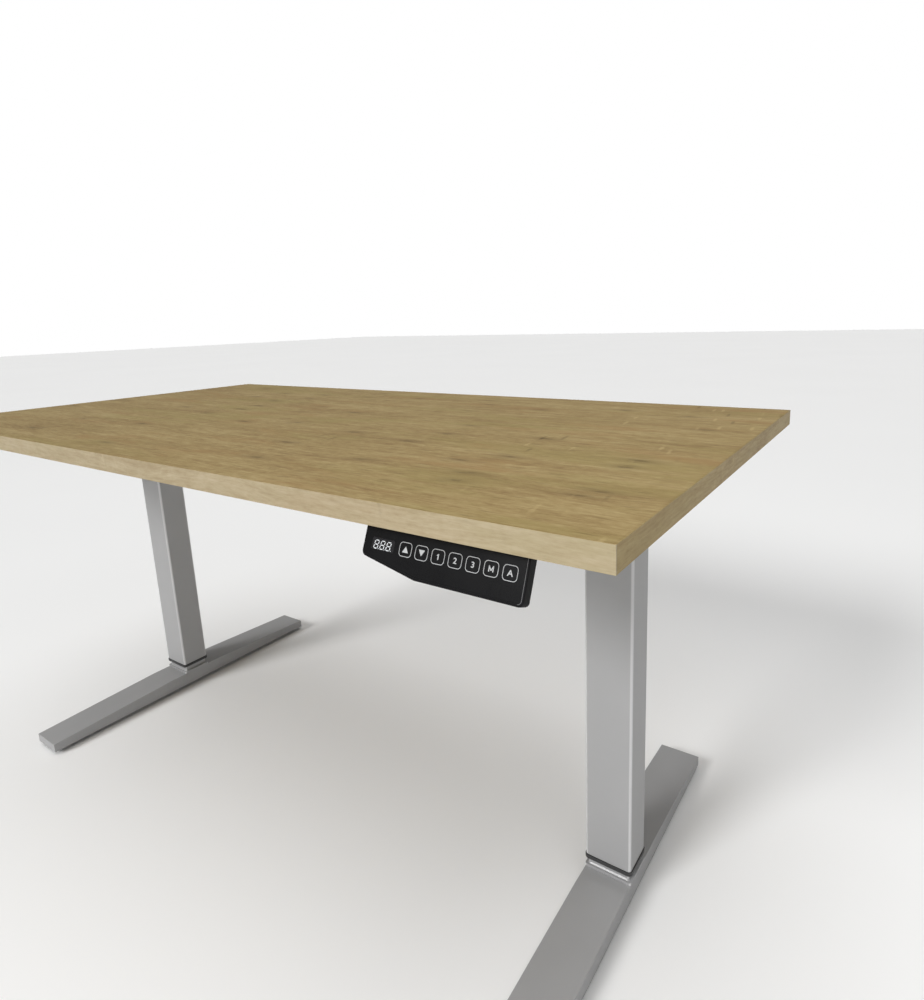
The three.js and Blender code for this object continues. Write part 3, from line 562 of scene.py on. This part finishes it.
for x in (-ear_screw_x, ear_screw_x):
    for y in (low.y + ear_screw_inset, high.y - ear_screw_inset):
        heads.append(screw_head(*wood_screw, (x, y, low.z), downwards))
low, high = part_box("handset_body")
tab_underside = high.z - tab_depth
for x in (low.x + tab_inset, high.x - tab_inset):
    heads.append(screw_head(*wood_screw, (x, high.y - tab_screw_from_back, tab_underside), downwards))
piece("top_screws", joined(*heads), zinc, "top", sharp=25.0)

foot_bolt_spread, foot_plate = 0.015, 0.003
for side in ("right", "left"):
    low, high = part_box(f"{side}_foot")
    x, z = (low.x + high.x) / 2, high.z - foot_plate
    spread = (-foot_bolt_spread, foot_bolt_spread)
    heads = [screw_head(*foot_bolt, (x + a, b, z), downwards) for a in spread for b in spread]
    piece(f"{side}_foot_bolts", joined(*heads), zinc, f"{side}_lower", sharp=25.0)

# ---- Levelling pads -----------------------------------------------------------------------------
# Moulded black feet with a grip ring round the rim, each on an M8 stem that screws into the boss at
# the end of a foot.


def grained(name, first, second, roughness, scale, depth=0.0, detail=3.0, **finish):
    """A plain finish with a fine grain that its colour, roughness and relief follow. The colours and
    the roughness are given as where they go from and to."""
    colour = [(a + b) / 2 for a, b in zip(first, second)]
    material, shader, place = surface(name, colour, sum(roughness) / 2, **finish)
    grain = place.noise(scale, detail=detail)
    grain.mixed((*first, 1), (*second, 1)).drives(shader["Base Color"])
    (roughness[0] + grain * (roughness[1] - roughness[0])).drives(shader["Roughness"])
    if depth:
        place.bump(grain, depth).drives(shader["Normal"])
    return material


pad_tones = (0.018, 0.018, 0.019), (0.032, 0.032, 0.033)
pad_rubber = grained("pad_rubber", *pad_tones, (0.52, 0.72), 800.0, 0.0001, specular=0.4)
pad_radius = 0.019
grip_steps = 64
stem_radius, thread_root, thread_start, thread_pitch = 0.0040, 0.00335, 0.0092, 0.00115
pad_profile = [(0, 0), (0.0172, 0), (0.0184, 0.0004), (pad_radius, 0.0014), (pad_radius, 0.0036)]
pad_profile += [(0.0184, 0.0044), (0.0125, 0.0058), (0.0104, 0.0066), (0.0100, 0.0080)]
pad_profile += [(stem_radius, 0.0080), (stem_radius, 0.0086)]
for turn in range(10):
    valley = thread_start + turn * thread_pitch
    pad_profile += [(thread_root, valley), (stem_radius, valley + thread_pitch / 2)]
pad_profile += [(0.0033, 0.0209), (0, 0.0209)]
for side in ("right", "left"):
    for place_name in ("front", "rear"):
        node = f"{side}_{place_name}_leveler"
        low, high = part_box(node)
        pad = turned(pad_profile, grip_steps)
        for vertex in pad.verts:
            if hypot(vertex.co.x, vertex.co.y) > pad_radius - 0.0007 and vertex.co.z > 0.0003:
                step = round(atan2(vertex.co.y, vertex.co.x) / (2 * pi / grip_steps))
                if step % 4 == 0:
                    vertex.co.xy *= 0.972
        bmesh.ops.translate(pad, vec=((low.x + high.x) / 2, (low.y + high.y) / 2, low.z), verts=pad.verts)
        name = f"{side}_{place_name}_pad_foot"
        piece(name, pad, pad_rubber, f"{side}_{place_name}_pad", [node])

# ---- Glides and collars -------------------------------------------------------------------------
# Moulded sleeves that keep the two tubes from rattling: one round the top of the inner tube, and a
# collar pressed into the mouth of the outer one, whose black rim shows below it.
glide_tones = (0.028, 0.028, 0.029), (0.044, 0.044, 0.045)
glide_plastic = grained("glide_plastic", *glide_tones, (0.40, 0.58), 500.0, 0.00006, specular=0.45)
for side in ("right", "left"):
    collar = softened(f"{side}_collar", 0.0005)
    piece(f"{side}_mouth_collar", collar, glide_plastic, "top", [f"{side}_collar"])
    glide = softened(f"{side}_inner_glide", 0.0005)
    body = f"{side}_lower"
    piece(f"{side}_tube_glide", glide, glide_plastic, body, [f"{side}_inner_glide"])

# ---- Drive in each column -----------------------------------------------------------------------
# A tube motor turns a worm, the worm turns a wheel on the spindle, and the spindle draws the inner
# tube's nut up or down. Ground steel, a bronze-coloured nut and wheel, and a cast gearbox.


def metal(name, first, second, roughness, scale, depth):
    """Bare metal, its tone a little cloudy and its surface finely toothed."""
    material, shader, place = surface(name, first, roughness, metallic=1.0)
    tone = place.noise(scale, detail=4.0, roughness=0.6)
    tone.mixed((*first, 1), (*second, 1)).drives(shader["Base Color"])
    (roughness - 0.06 + tone * 0.16).drives(shader["Roughness"])
    place.bump(place.noise(scale * 4, detail=3.0), depth).drives(shader["Normal"])
    return material


steel = metal("ground_steel", (0.42, 0.42, 0.43), (0.56, 0.56, 0.57), 0.28, 120.0, 0.00003)
bronze = metal("bronze", (0.52, 0.33, 0.13), (0.66, 0.44, 0.20), 0.34, 140.0, 0.00004)
cast_aluminium = metal("cast_aluminium", (0.50, 0.50, 0.51), (0.62, 0.62, 0.63), 0.48, 300.0, 0.00015)
motor_tones = (0.022, 0.022, 0.024), (0.045, 0.045, 0.047)
motor_paint = grained("motor_paint", *motor_tones, (0.30, 0.50), 260.0, 0.00006, coat=0.3)
circuit_green, shader, place = surface("circuit_green", (0.012, 0.085, 0.04), 0.35, coat=0.4)
cells = place.placed((170.0, 170.0, 170.0))
tracks = cells.add("ShaderNodeTexBrick", {"Vector": cells, "Scale": 1.0, "Mortar Size": 0.06}, out=1)
tracks.mixed((0.010, 0.075, 0.035, 1), (0.030, 0.150, 0.065, 1)).drives(shader["Base Color"])
(0.30 + tracks * 0.15).drives(shader["Roughness"])
place.bump(tracks, 0.00003).drives(shader["Normal"])


def finished(node, material):
    """Gives a shape in the frame its finish and leaves it as it is."""
    mesh = frame["nodes"][node].data
    mesh.materials.clear()
    mesh.materials.append(material)


for side in ("right", "left"):
    for node in ("spindle", "spindle_bearing", "worm_shaft"):
        finished(f"{side}_{node}", steel)
    for node in ("spindle_nut", "worm_wheel"):
        finished(f"{side}_{node}", bronze)
    case = softened(f"{side}_gearbox_case", 0.0006)
    piece(f"{side}_head_case", case, cast_aluminium, "top", [f"{side}_gearbox_case"])
    cover = softened(f"{side}_gearbox_cover", 0.0006)
    piece(f"{side}_head_cover", cover, cast_aluminium, "top", [f"{side}_gearbox_cover"])
    motor = softened(f"{side}_motor", 0.0008, segments=3)
    piece(f"{side}_tube_motor", motor, motor_paint, "top", [f"{side}_motor"])
for node in ("control_board", "handset_board"):
    finished(node, circuit_green)

# ---- Motor covers -------------------------------------------------------------------------------
# Moulded black tubs with ribs across the bottom, each held up under the top round its motor by four
# screws.


def moulded(name, colour, roughness=0.42, grain=1500.0, depth=0.00008, gloss=0.2):
    """Injection-moulded plastic with a fine spark-eroded grain."""
    material, shader, place = surface(name, colour, roughness, specular=gloss)
    speckle = place.noise(grain, detail=2.0)
    mottle = place.noise(30.0, detail=3.0)
    lighter = tuple(c * 1.35 for c in colour)
    mottle.mixed((*colour, 1), (*lighter, 1)).drives(shader["Base Color"])
    (roughness - 0.06 + speckle * 0.12 + mottle * 0.06).drives(shader["Roughness"])
    place.bump(speckle, depth).drives(shader["Normal"])
    return material


black_plastic = moulded("black_plastic", (0.0055, 0.0055, 0.006), 0.5, gloss=0.1)


def ribs(node, inset, count, width, height):
    """Ribs in a row along X on the bottom of a housing, kept in from its sides by the inset in X and Y."""
    low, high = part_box(node)
    step = (high.x - low.x - 2 * inset[0]) / count
    parts = []
    for index in range(count):
        x = low.x + inset[0] + (index + 0.5) * step
        rib_low = (x - width / 2, low.y + inset[1], low.z - height)
        rib_high = (x + width / 2, high.y - inset[1], low.z + 0.0004)
        parts.append(brick(rib_low, rib_high, 0.0004))
    return joined(*parts)


tub_screw = (0.0032, 0.0016)
for side in ("right", "left"):
    node = f"{side}_motor_cover"
    tub = softened(node, 0.0012, segments=3)
    piece(f"{side}_motor_tub", tub, black_plastic, "top", [node])
    tub_ribs = ribs(node, (0.030, 0.016), 9, 0.0026, 0.0006)
    piece(f"{side}_tub_ribs", tub_ribs, black_plastic, "top")
    low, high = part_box(node)
    heads = []
    for x in (low.x + 0.012, high.x - 0.012):
        for y in (low.y + 0.010, high.y - 0.010):
            heads.append(screw_head(*tub_screw, (x, y, low.z), downwards))
    piece(f"{side}_tub_screws", joined(*heads), zinc, "top", sharp=25.0)

# ---- Control box --------------------------------------------------------------------------------
# A moulded tray that snaps to a lid, screwed up under the middle of the top by the lid's four ears.
# The mains inlet is at the back, and the handset's and motors' leads go in at the front and ends.
tray = softened("control_box_tray", 0.0014, segments=3)
piece("box_tray", tray, black_plastic, "top", ["control_box_tray"])
lid = softened("control_box_lid", 0.0008)
piece("box_lid", lid, black_plastic, "top", ["control_box_lid"])
box_ribs = ribs("control_box_tray", (0.014, 0.018), 17, 0.0030, 0.0008)
piece("box_ribs", box_ribs, black_plastic, "top")
inlet = softened("mains_inlet", 0.0006)
piece("inlet_shell", inlet, black_plastic, "top", ["mains_inlet"])
low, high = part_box("mains_inlet")
middle_x, middle_z = (low.x + high.x) / 2, (low.z + high.z) / 2
pin_places = ((-0.007, -0.0022), (0.007, -0.0022), (0, 0.0028))
half_pin = Vector((0.001, 0, 0.002))
pins = []
for x, z in pin_places:
    front = Vector((middle_x + x, low.y + 0.003, middle_z + z))
    back = Vector((middle_x + x, high.y - 0.003, middle_z + z))
    pins.append(brick(front - half_pin, back + half_pin, 0.0004))
piece("inlet_pins", joined(*pins), steel, "top")

# ---- Leads --------------------------------------------------------------------------------------
# Round black leads held under the top all the way: one from the handset and one from each motor,
# with a rubber bush where each goes into a housing and adhesive clips between.
lead_tones = (0.014, 0.014, 0.015), (0.028, 0.028, 0.029)
lead_jacket = grained("lead_jacket", *lead_tones, (0.44, 0.60), 400.0, 0.00005, specular=0.4)
motor_lead_radius, handset_lead_radius = 0.0025, 0.002
handset_clips, motor_clips = (0.47, 0.365, 0.26), (0.34, 0.19)


def lead_near(node, axis, place, reach):
    """The middle of a lead within reach of a place along X (0) or Y (1), and which way it runs there."""
    spots = {tuple(round(c, 6) for c in v.co) for v in frame["nodes"][node].data.vertices}
    near = [Vector(spot) for spot in spots if abs(spot[axis] - place) < reach]
    middle = sum(near, Vector()) / len(near)
    ahead = [spot for spot in near if spot[axis] > middle[axis]]
    return middle, sum(ahead, Vector()) / len(ahead) - middle


def bush(radius, at, outward):
    """A rubber bush round a lead: a flange on the housing and a short tapered sleeve outside it."""
    seat, length, bore = 0.0001, 0.0090, 0.0001
    outline = [(bore, seat), (0.0026, seat), (0.0026, 0.0010), (0.0020, 0.0016), (0.0013, 0.0018)]
    outline += [(0.0008, 0.0086), (0.0005, length), (bore, length), (bore, seat)]
    bm = turned([(radius + out, along) for out, along in outline], 24)
    turn = Vector(outward).to_track_quat("Z", "Y").to_matrix().to_4x4()
    bmesh.ops.transform(bm, matrix=Matrix.Translation(at) @ turn, verts=bm.verts)
    return bm


def clip(radius, middle, run):
    """A stick-on clip: a pad under the top, and a loop that hangs from it round the lead."""
    wide = radius + 0.0012
    room = underside - 0.0002 - middle.z
    loop = rounded_tube((-room, -wide, -0.004), (wide, wide, 0.004), 0.0018, 0.0008, 0.0002)
    bmesh.ops.rotate(loop, cent=(0, 0, 0), matrix=Matrix.Rotation(pi / 2, 3, "Y"), verts=loop.verts)
    pad = brick((-0.007, -0.009, room - 0.0008), (0.007, 0.009, room), 0.0003)
    bm = joined(loop, pad)
    along_lead = Matrix.Rotation(atan2(run.y, run.x), 4, "Z")
    bmesh.ops.transform(bm, matrix=Matrix.Translation(middle) @ along_lead, verts=bm.verts)
    return bm


clips = [clip(handset_lead_radius, *lead_near("handset_lead", 0, x, 0.012)) for x in handset_clips]
box_low, box_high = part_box("control_box_tray")
at, run = lead_near("handset_lead", 1, box_low.y, 0.012)
bushes = [bush(handset_lead_radius, (at.x, box_low.y, at.z), (0, -1, 0))]
for side, outward in (("right", 1), ("left", -1)):
    node = f"{side}_motor_lead"
    clips += [clip(motor_lead_radius, *lead_near(node, 0, outward * x, 0.012)) for x in motor_clips]
    box_end = box_high.x if outward > 0 else box_low.x
    at, run = lead_near(node, 0, box_end, 0.007)
    bushes.append(bush(motor_lead_radius, (box_end, at.y, at.z), (outward, 0, 0)))
    low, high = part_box(f"{side}_motor_cover")
    cover_end = low.x if outward > 0 else high.x
    at, run = lead_near(node, 0, cover_end, 0.007)
    bushes.append(bush(motor_lead_radius, (cover_end, at.y, at.z), (-outward, 0, 0)))
piece("lead_clips", joined(*clips), black_plastic, "top")
piece("lead_bushes", joined(*bushes), lead_jacket, "top")
for node in ("right_motor_lead", "left_motor_lead", "handset_lead"):
    piece(f"{node}_jacket", softened(node, 0), lead_jacket, "top", [node], sharp=60.0)

# ---- Handset ------------------------------------------------------------------------------------
# A slim moulded housing screwed up behind the front edge of the top, its face tilted up towards
# the user. The lower left edge is cut away at a slope, and the face is a recess for the film.
box_low, box_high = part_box("handset_body")
joints = {joint["name"]: joint for joint in frame["record"]["behaviour"]["joints"]}
inward = Vector(joints["key_up_press"]["axis"])
sideways = Vector((1, 0, 0))
up_slope = sideways.cross(inward)
handset_setback = 0.020
face_top = Vector((0, cad_box[0].y + handset_setback, underside))
facing = Matrix((sideways, inward, up_slope)).transposed().to_4x4()
handset_place = Matrix.Translation(face_top) @ facing
handset_drop = 0.0514
left_drop = 0.0378
knee = box_low.x + 0.073
thickness = 0.0125
front_round, back_round, lower_corner = 0.0008, 0.0016, 0.005
above_top = 0.014
under_gap = 0.0003
tab_from_end, lead_drop = 0.012, 0.025
film_sunk = 0.0007
film_margin = 0.0024
top_margin = 0.0012
black_film = moulded("black_film", (0.0055, 0.0055, 0.006), 0.26, 3000.0, 0.00001, gloss=0.15)


def round_corners(bm, verts, radius, segments):
    """Rounds the corners of a flat face at the points given."""
    bmesh.ops.bevel(
        bm,
        geom=verts,
        offset=radius,
        segments=segments,
        profile=0.5,
        affect="VERTICES",
        material=-1,
    )


def face_outline(margin, top, corner, depth):
    """The handset's outline as one face at a depth, drawn in by a margin, its lower corners rounded."""
    slope = atan2(handset_drop - left_drop, knee - box_low.x)
    left_bottom = -left_drop - margin * tan(slope) + margin / cos(slope)
    knee_x = knee + margin * tan(slope / 2)
    bm = bmesh.new()
    corners = [(box_low.x + margin, top), (box_low.x + margin, left_bottom), (knee_x, -handset_drop + margin)]
    corners += [(box_high.x - margin, -handset_drop + margin), (box_high.x - margin, top)]
    verts = [bm.verts.new((x, depth, z)) for x, z in corners]
    bm.faces.new(verts)
    round_corners(bm, [verts[1], verts[3]], corner, 8)
    return bm


def thickened(bm, depth):
    """The flat shape given a thickness, towards the back of the handset."""
    made = bmesh.ops.extrude_face_region(bm, geom=bm.faces[:])
    back = [v for v in made["geom"] if isinstance(v, bmesh.types.BMVert)]
    bmesh.ops.translate(bm, vec=(0, depth, 0), verts=back)
    bmesh.ops.recalc_face_normals(bm, faces=bm.faces)
    return bm


def front_edges(bm, depth=1e-6):
    """The sharp edges in front of a depth, for a shape that faces the front."""
    return [e for e in sharp_edges(bm) if all(v.co.y < depth for v in e.verts)]


# The housing is made taller than it is and then cut off level just under the top.
body = thickened(face_outline(0, above_top, lower_corner, 0), thickness)
rounded(body, front_edges(body), front_round, 3)
back_edges = [e for e in sharp_edges(body) if all(v.co.y > thickness - 1e-6 for v in e.verts)]
rounded(body, back_edges, back_round, 3)
face = [f for f in body.faces if f.normal.y < -0.99]
bmesh.ops.inset_region(body, faces=face, thickness=film_margin - 0.0009, use_even_offset=True)
bmesh.ops.inset_region(body, faces=face, thickness=0.00012, depth=-film_sunk, use_even_offset=True)
bmesh.ops.transform(body, matrix=handset_place, verts=body.verts)
cut = bmesh.ops.bisect_plane(
    body,
    geom=body.verts[:] + body.edges[:] + body.faces[:],
    plane_co=(0, 0, underside - under_gap),
    plane_no=(0, 0, 1),
    clear_outer=True,
)
bmesh.ops.holes_fill(body, edges=[e for e in cut["geom_cut"] if isinstance(e, bmesh.types.BMEdge)])
tab_low = (box_low.x + tab_from_end, face_top.y + thickness / 2, tab_underside)
tab_high = (box_high.x - tab_from_end, box_high.y, underside - under_gap)
tab = rounded_bar(tab_low, tab_high, 0.003, 0.0005)
body = joined(body, tab)
piece("handset_shell", body, black_plastic, "top", ["handset_body"], sharp=28.0)
lead_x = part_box("handset_lead")[1].x - handset_lead_radius
lead_exit = handset_place @ Vector((lead_x, thickness, -lead_drop))
piece("handset_bush", bush(handset_lead_radius, lead_exit, inward), lead_jacket, "top")

# ---- Handset film -------------------------------------------------------------------------------
# A glossy black polyester film bonded into the recess, with an opening for the display and one round
# each key. A fine pale strip along its right edge is a painted highlight, where the edge catches the light.
key_drop = 0.0242
display_x = box_low.x + 0.0263
key_names = {"up": "up", "down": "down", "1": "one", "2": "two", "3": "three", "m": "m", "a": "a"}
window_width, window_height, window_corner = 0.030, 0.012, 0.001
cap_width, cap_height, cap_corner = 0.0160, 0.0145, 0.0042
first_key = display_x + 0.030
key_pitch = 0.0203
around = 0.00015


def stand_up(bm):
    """Turns a flat shape that lies level to face the front."""
    bmesh.ops.rotate(bm, cent=(0, 0, 0), matrix=Matrix.Rotation(pi / 2, 3, "X"), verts=bm.verts)


def rounded_face(width, height, corner, x, z, depth, segments=6):
    """A flat rounded rectangle on the handset's face, in the handset's own directions."""
    bm = bmesh.new()
    bmesh.ops.create_grid(bm, x_segments=1, y_segments=1, size=0.5)
    bmesh.ops.scale(bm, vec=(width, height, 1), verts=bm.verts)
    stand_up(bm)
    bmesh.ops.translate(bm, vec=(x, depth, z), verts=bm.verts)
    round_corners(bm, bm.verts[:], corner, segments)
    return bm


def cut_away(bm, cutter):
    """What is left of one shape when another is cut out of it."""
    shapes = []
    for shape in (bm, cutter):
        mesh = bpy.data.meshes.new("shape")
        shape.to_mesh(mesh)
        shape.free()
        shapes.append(bpy.data.objects.new("shape", mesh))
        bpy.context.scene.collection.objects.link(shapes[-1])
    cut = shapes[0].modifiers.new("cut", "BOOLEAN")
    cut.operation = "DIFFERENCE"
    cut.solver = "EXACT"
    cut.object = shapes[1]
    left = bmesh.new()
    left.from_object(shapes[0], bpy.context.evaluated_depsgraph_get())
    for shape in shapes:
        bpy.data.meshes.remove(shape.data)
    return left


film_corner, film_front = 0.0036, 0.00002
film = face_outline(film_margin + 0.0001, -top_margin, film_corner, film_front)
film = thickened(film, film_sunk - 0.00005)
shapes = [(window_width, window_height, window_corner, display_x)]
for index in range(len(key_names)):
    shapes.append((cap_width, cap_height, cap_corner, first_key + index * key_pitch))
openings = []
for width, height, corner, x in shapes:
    opening = rounded_face(width + 2 * around, height + 2 * around, corner, x, -key_drop, -0.001)
    openings.append(thickened(opening, 0.003))
film = cut_away(film, joined(*openings))
rounded(film, front_edges(film, 1e-4), 0.00012)
bmesh.ops.transform(film, matrix=handset_place, verts=film.verts)
piece("face_film", film, black_film, "top", ["handset_panel"], sharp=50.0)

# Painted highlight: a thin pale strip on the film's edge, kept only near its right-hand end.
film_edge_highlight_tones = (0.10, 0.10, 0.105), (0.22, 0.22, 0.225)
film_edge_highlight = grained("film_edge_highlight", *film_edge_highlight_tones, (0.24, 0.36), 140.0, detail=2.0, coat=0.2)
strip_outside, strip_width, strip_height, strip_length = 0.00035, 0.00042, 0.00006, 0.0045
highlight_strip = face_outline(film_margin - strip_outside, -top_margin, 0.0038, 0.00001)
bmesh.ops.inset_region(
    highlight_strip,
    faces=highlight_strip.faces[:],
    thickness=strip_width,
    use_boundary=True,
    use_even_offset=True,
)
outer = max(highlight_strip.faces, key=lambda f: f.calc_area())
bmesh.ops.delete(highlight_strip, geom=[outer], context="FACES")
shown_from = box_high.x - film_margin - strip_length
left_over = [f for f in highlight_strip.faces if min(v.co.x for v in f.verts) < shown_from]
bmesh.ops.delete(highlight_strip, geom=left_over, context="FACES")
highlight_strip = thickened(highlight_strip, -strip_height)
bmesh.ops.transform(highlight_strip, matrix=handset_place, verts=highlight_strip.verts)
piece("film_edge_highlight", highlight_strip, film_edge_highlight, "top")

# ---- Display ------------------------------------------------------------------------------------
# A dark window in the film over three seven-segment digits with their points, which lean forwards
# and light up white.
glass_tones = (0.010, 0.010, 0.011), (0.018, 0.018, 0.020)
display_glass = grained("display_glass", *glass_tones, (0.10, 0.18), 90.0, detail=2.0, coat=0.5)
lit_segment, shader, place = surface("lit_segment", (0.75, 0.78, 0.80), 0.4)
glow = place.noise(1500.0, detail=2.0)
glow.mixed((0.56, 0.58, 0.60, 1), (0.70, 0.72, 0.74, 1)).drives(shader["Base Color"])
glow.mixed((0.80, 0.84, 0.87, 1), (0.92, 0.95, 0.97, 1)).drives(shader["Emission Color"])
shader["Emission Strength"].default_value = 0.14
window = rounded_face(window_width, window_height, window_corner, display_x, -key_drop, 0.00001)
window = thickened(window, 0.0006)
rounded(window, front_edges(window, 1e-4), 0.0001)
bmesh.ops.transform(window, matrix=handset_place, verts=window.verts)
piece("display_window", window, display_glass, "top", ["handset_display"], sharp=50.0)

digit_height = 0.0082
digit_width = 0.0050
digit_pitch = 0.0082
digits_left, digits_below = 0.0006, 0.0008
stroke = 0.00098
bar_ends = 0.0011
point_gap = 0.0016
half = digit_height / 2
print_depth = 0.00005
digits_z = -key_drop - digits_below
marks = []
for index in range(3):
    x = display_x + (index - 1) * digit_pitch - digits_left
    bars = [(0, level, digit_width - bar_ends, stroke) for level in (-half, 0, half)]
    bars += [(a * digit_width / 2, b * half / 2, stroke, half - bar_ends) for a in (-1, 1) for b in (-1, 1)]
    bars += [(digit_width / 2 + point_gap, -half, stroke, stroke)]
    for bar_x, bar_z, width, height in bars:
        bar = rounded_face(width, height, 0.0004, x + bar_x, digits_z + bar_z, -print_depth, 2)
        marks.append(thickened(bar, print_depth))
digits = joined(*marks)
lean = Matrix.Identity(4)
lean[0][2] = tan(radians(10))
about_middle = Matrix.Translation((display_x, 0, digits_z))
leaning = handset_place @ about_middle @ lean @ about_middle.inverted()
bmesh.ops.transform(digits, matrix=leaning, verts=digits.verts)
piece("display_digits", digits, lit_segment, "top")

# ---- Keys ---------------------------------------------------------------------------------------
# Seven thin caps, each raised a little in its own opening in the film and free to sink into it. Each
# is printed with a thin pale outline and a mark: up, down, three stored heights, store, and stop.
print_tones = (0.46, 0.47, 0.48), (0.60, 0.61, 0.62)
pale_print = grained("pale_print", *print_tones, (0.40, 0.50), 1800.0, detail=2.0, specular=0.3)
proud = 0.00015
cap_thickness = 0.00030
outline_width = 0.00058
arrow_width, arrow_height, letter_height = 0.0078, 0.0062, 0.0056


def lettered(text, height):
    """A bold letter or figure as a flat shape in XZ, about the origin."""
    curve = bpy.data.curves.new("letter", "FONT")
    curve.body = text
    curve.size = 1
    curve.offset = 0.016
    curve.resolution_u = 4
    holder = bpy.data.objects.new("letter", curve)
    bm = bmesh.new()
    bm.from_mesh(holder.to_mesh())
    holder.to_mesh_clear()
    bpy.data.objects.remove(holder)
    bmesh.ops.remove_doubles(bm, verts=bm.verts, dist=1e-5)
    low_x, high_x = min(v.co.x for v in bm.verts), max(v.co.x for v in bm.verts)
    low_y, high_y = min(v.co.y for v in bm.verts), max(v.co.y for v in bm.verts)
    bmesh.ops.translate(bm, vec=(-(low_x + high_x) / 2, -(low_y + high_y) / 2, 0), verts=bm.verts)
    growth = height / (high_y - low_y)
    bmesh.ops.scale(bm, vec=(1.12 * growth, growth, growth), verts=bm.verts)
    stand_up(bm)
    return bm


def from_bars(height, bars):
    """A mark made of straight bars in XZ, about the origin. Each bar is given by its middle, width and
    length, as shares of the mark's height, and by its turn in degrees."""
    parts = []
    for x, z, width, length, turn in bars:
        bar = bmesh.new()
        bmesh.ops.create_grid(bar, x_segments=1, y_segments=1, size=0.5)
        bmesh.ops.scale(bar, vec=(width * height, length * height, 1), verts=bar.verts)
        turned_by = Matrix.Rotation(radians(turn), 4, "Z")
        placed_at = Matrix.Translation((x * height, z * height, 0))
        bmesh.ops.transform(bar, matrix=placed_at @ turned_by, verts=bar.verts)
        parts.append(bar)
    bm = joined(*parts)
    stand_up(bm)
    return bm


def figure_one(height):
    """A bold 1 with its flag."""
    stem, flag = (0.05, 0, 0.22, 1.0, 0), (-0.10, 0.30, 0.40, 0.17, 38)
    return from_bars(height, [stem, flag])


def letter_m(height):
    """A bold M: two stems, and two strokes that meet low between them."""
    stems = [(x, 0, 0.19, 1.0, 0) for x in (-0.40, 0.40)]
    strokes = [(-0.205, 0.08, 0.17, 0.86, 28), (0.205, 0.08, 0.17, 0.86, -28)]
    return from_bars(height, stems + strokes)


def arrow(upwards, width, height):
    """A filled triangle that points up or down."""
    bm = bmesh.new()
    bmesh.ops.create_circle(bm, cap_ends=True, segments=3, radius=1)
    bmesh.ops.scale(bm, vec=(width / 3**0.5, height / 1.5, 1), verts=bm.verts)
    bmesh.ops.translate(bm, vec=(0, -height / 6, 0), verts=bm.verts)
    stand_up(bm)
    if not upwards:
        bmesh.ops.rotate(bm, cent=(0, 0, 0), matrix=Matrix.Rotation(pi, 3, "Y"), verts=bm.verts)
    return bm


for index, (key, word) in enumerate(key_names.items()):
    x = first_key + index * key_pitch
    cap = rounded_face(cap_width, cap_height, cap_corner - 0.0002, x, -key_drop, -proud)
    cap = thickened(cap, cap_thickness)
    rounded(cap, front_edges(cap, 0), 0.00012)
    bmesh.ops.transform(cap, matrix=handset_place, verts=cap.verts)
    piece(f"key_cap_{word}", cap, black_film, f"{word}_key", [f"key_{key}"], sharp=50.0)
    outline = rounded_face(cap_width - 0.0002, cap_height - 0.0002, cap_corner - 0.0003, x, -key_drop, -proud)
    inner = bmesh.ops.inset_region(
        outline,
        faces=outline.faces[:],
        thickness=outline_width,
        use_boundary=True,
        use_even_offset=True,
    )
    ring = set(inner["faces"])
    bmesh.ops.delete(outline, geom=[f for f in outline.faces if f not in ring], context="FACES")
    outline = thickened(outline, -print_depth)
    if key in ("up", "down"):
        mark = arrow(key == "up", arrow_width, arrow_height)
    elif key == "1":
        mark = figure_one(letter_height)
    elif key == "m":
        mark = letter_m(letter_height)
    else:
        mark = lettered(key.upper(), letter_height)
    bmesh.ops.translate(mark, vec=(x, -proud, -key_drop), verts=mark.verts)
    graphic = joined(outline, thickened(mark, -print_depth))
    bmesh.ops.transform(graphic, matrix=handset_place, verts=graphic.verts)
    piece(f"key_print_{word}", graphic, pale_print, f"{word}_key")
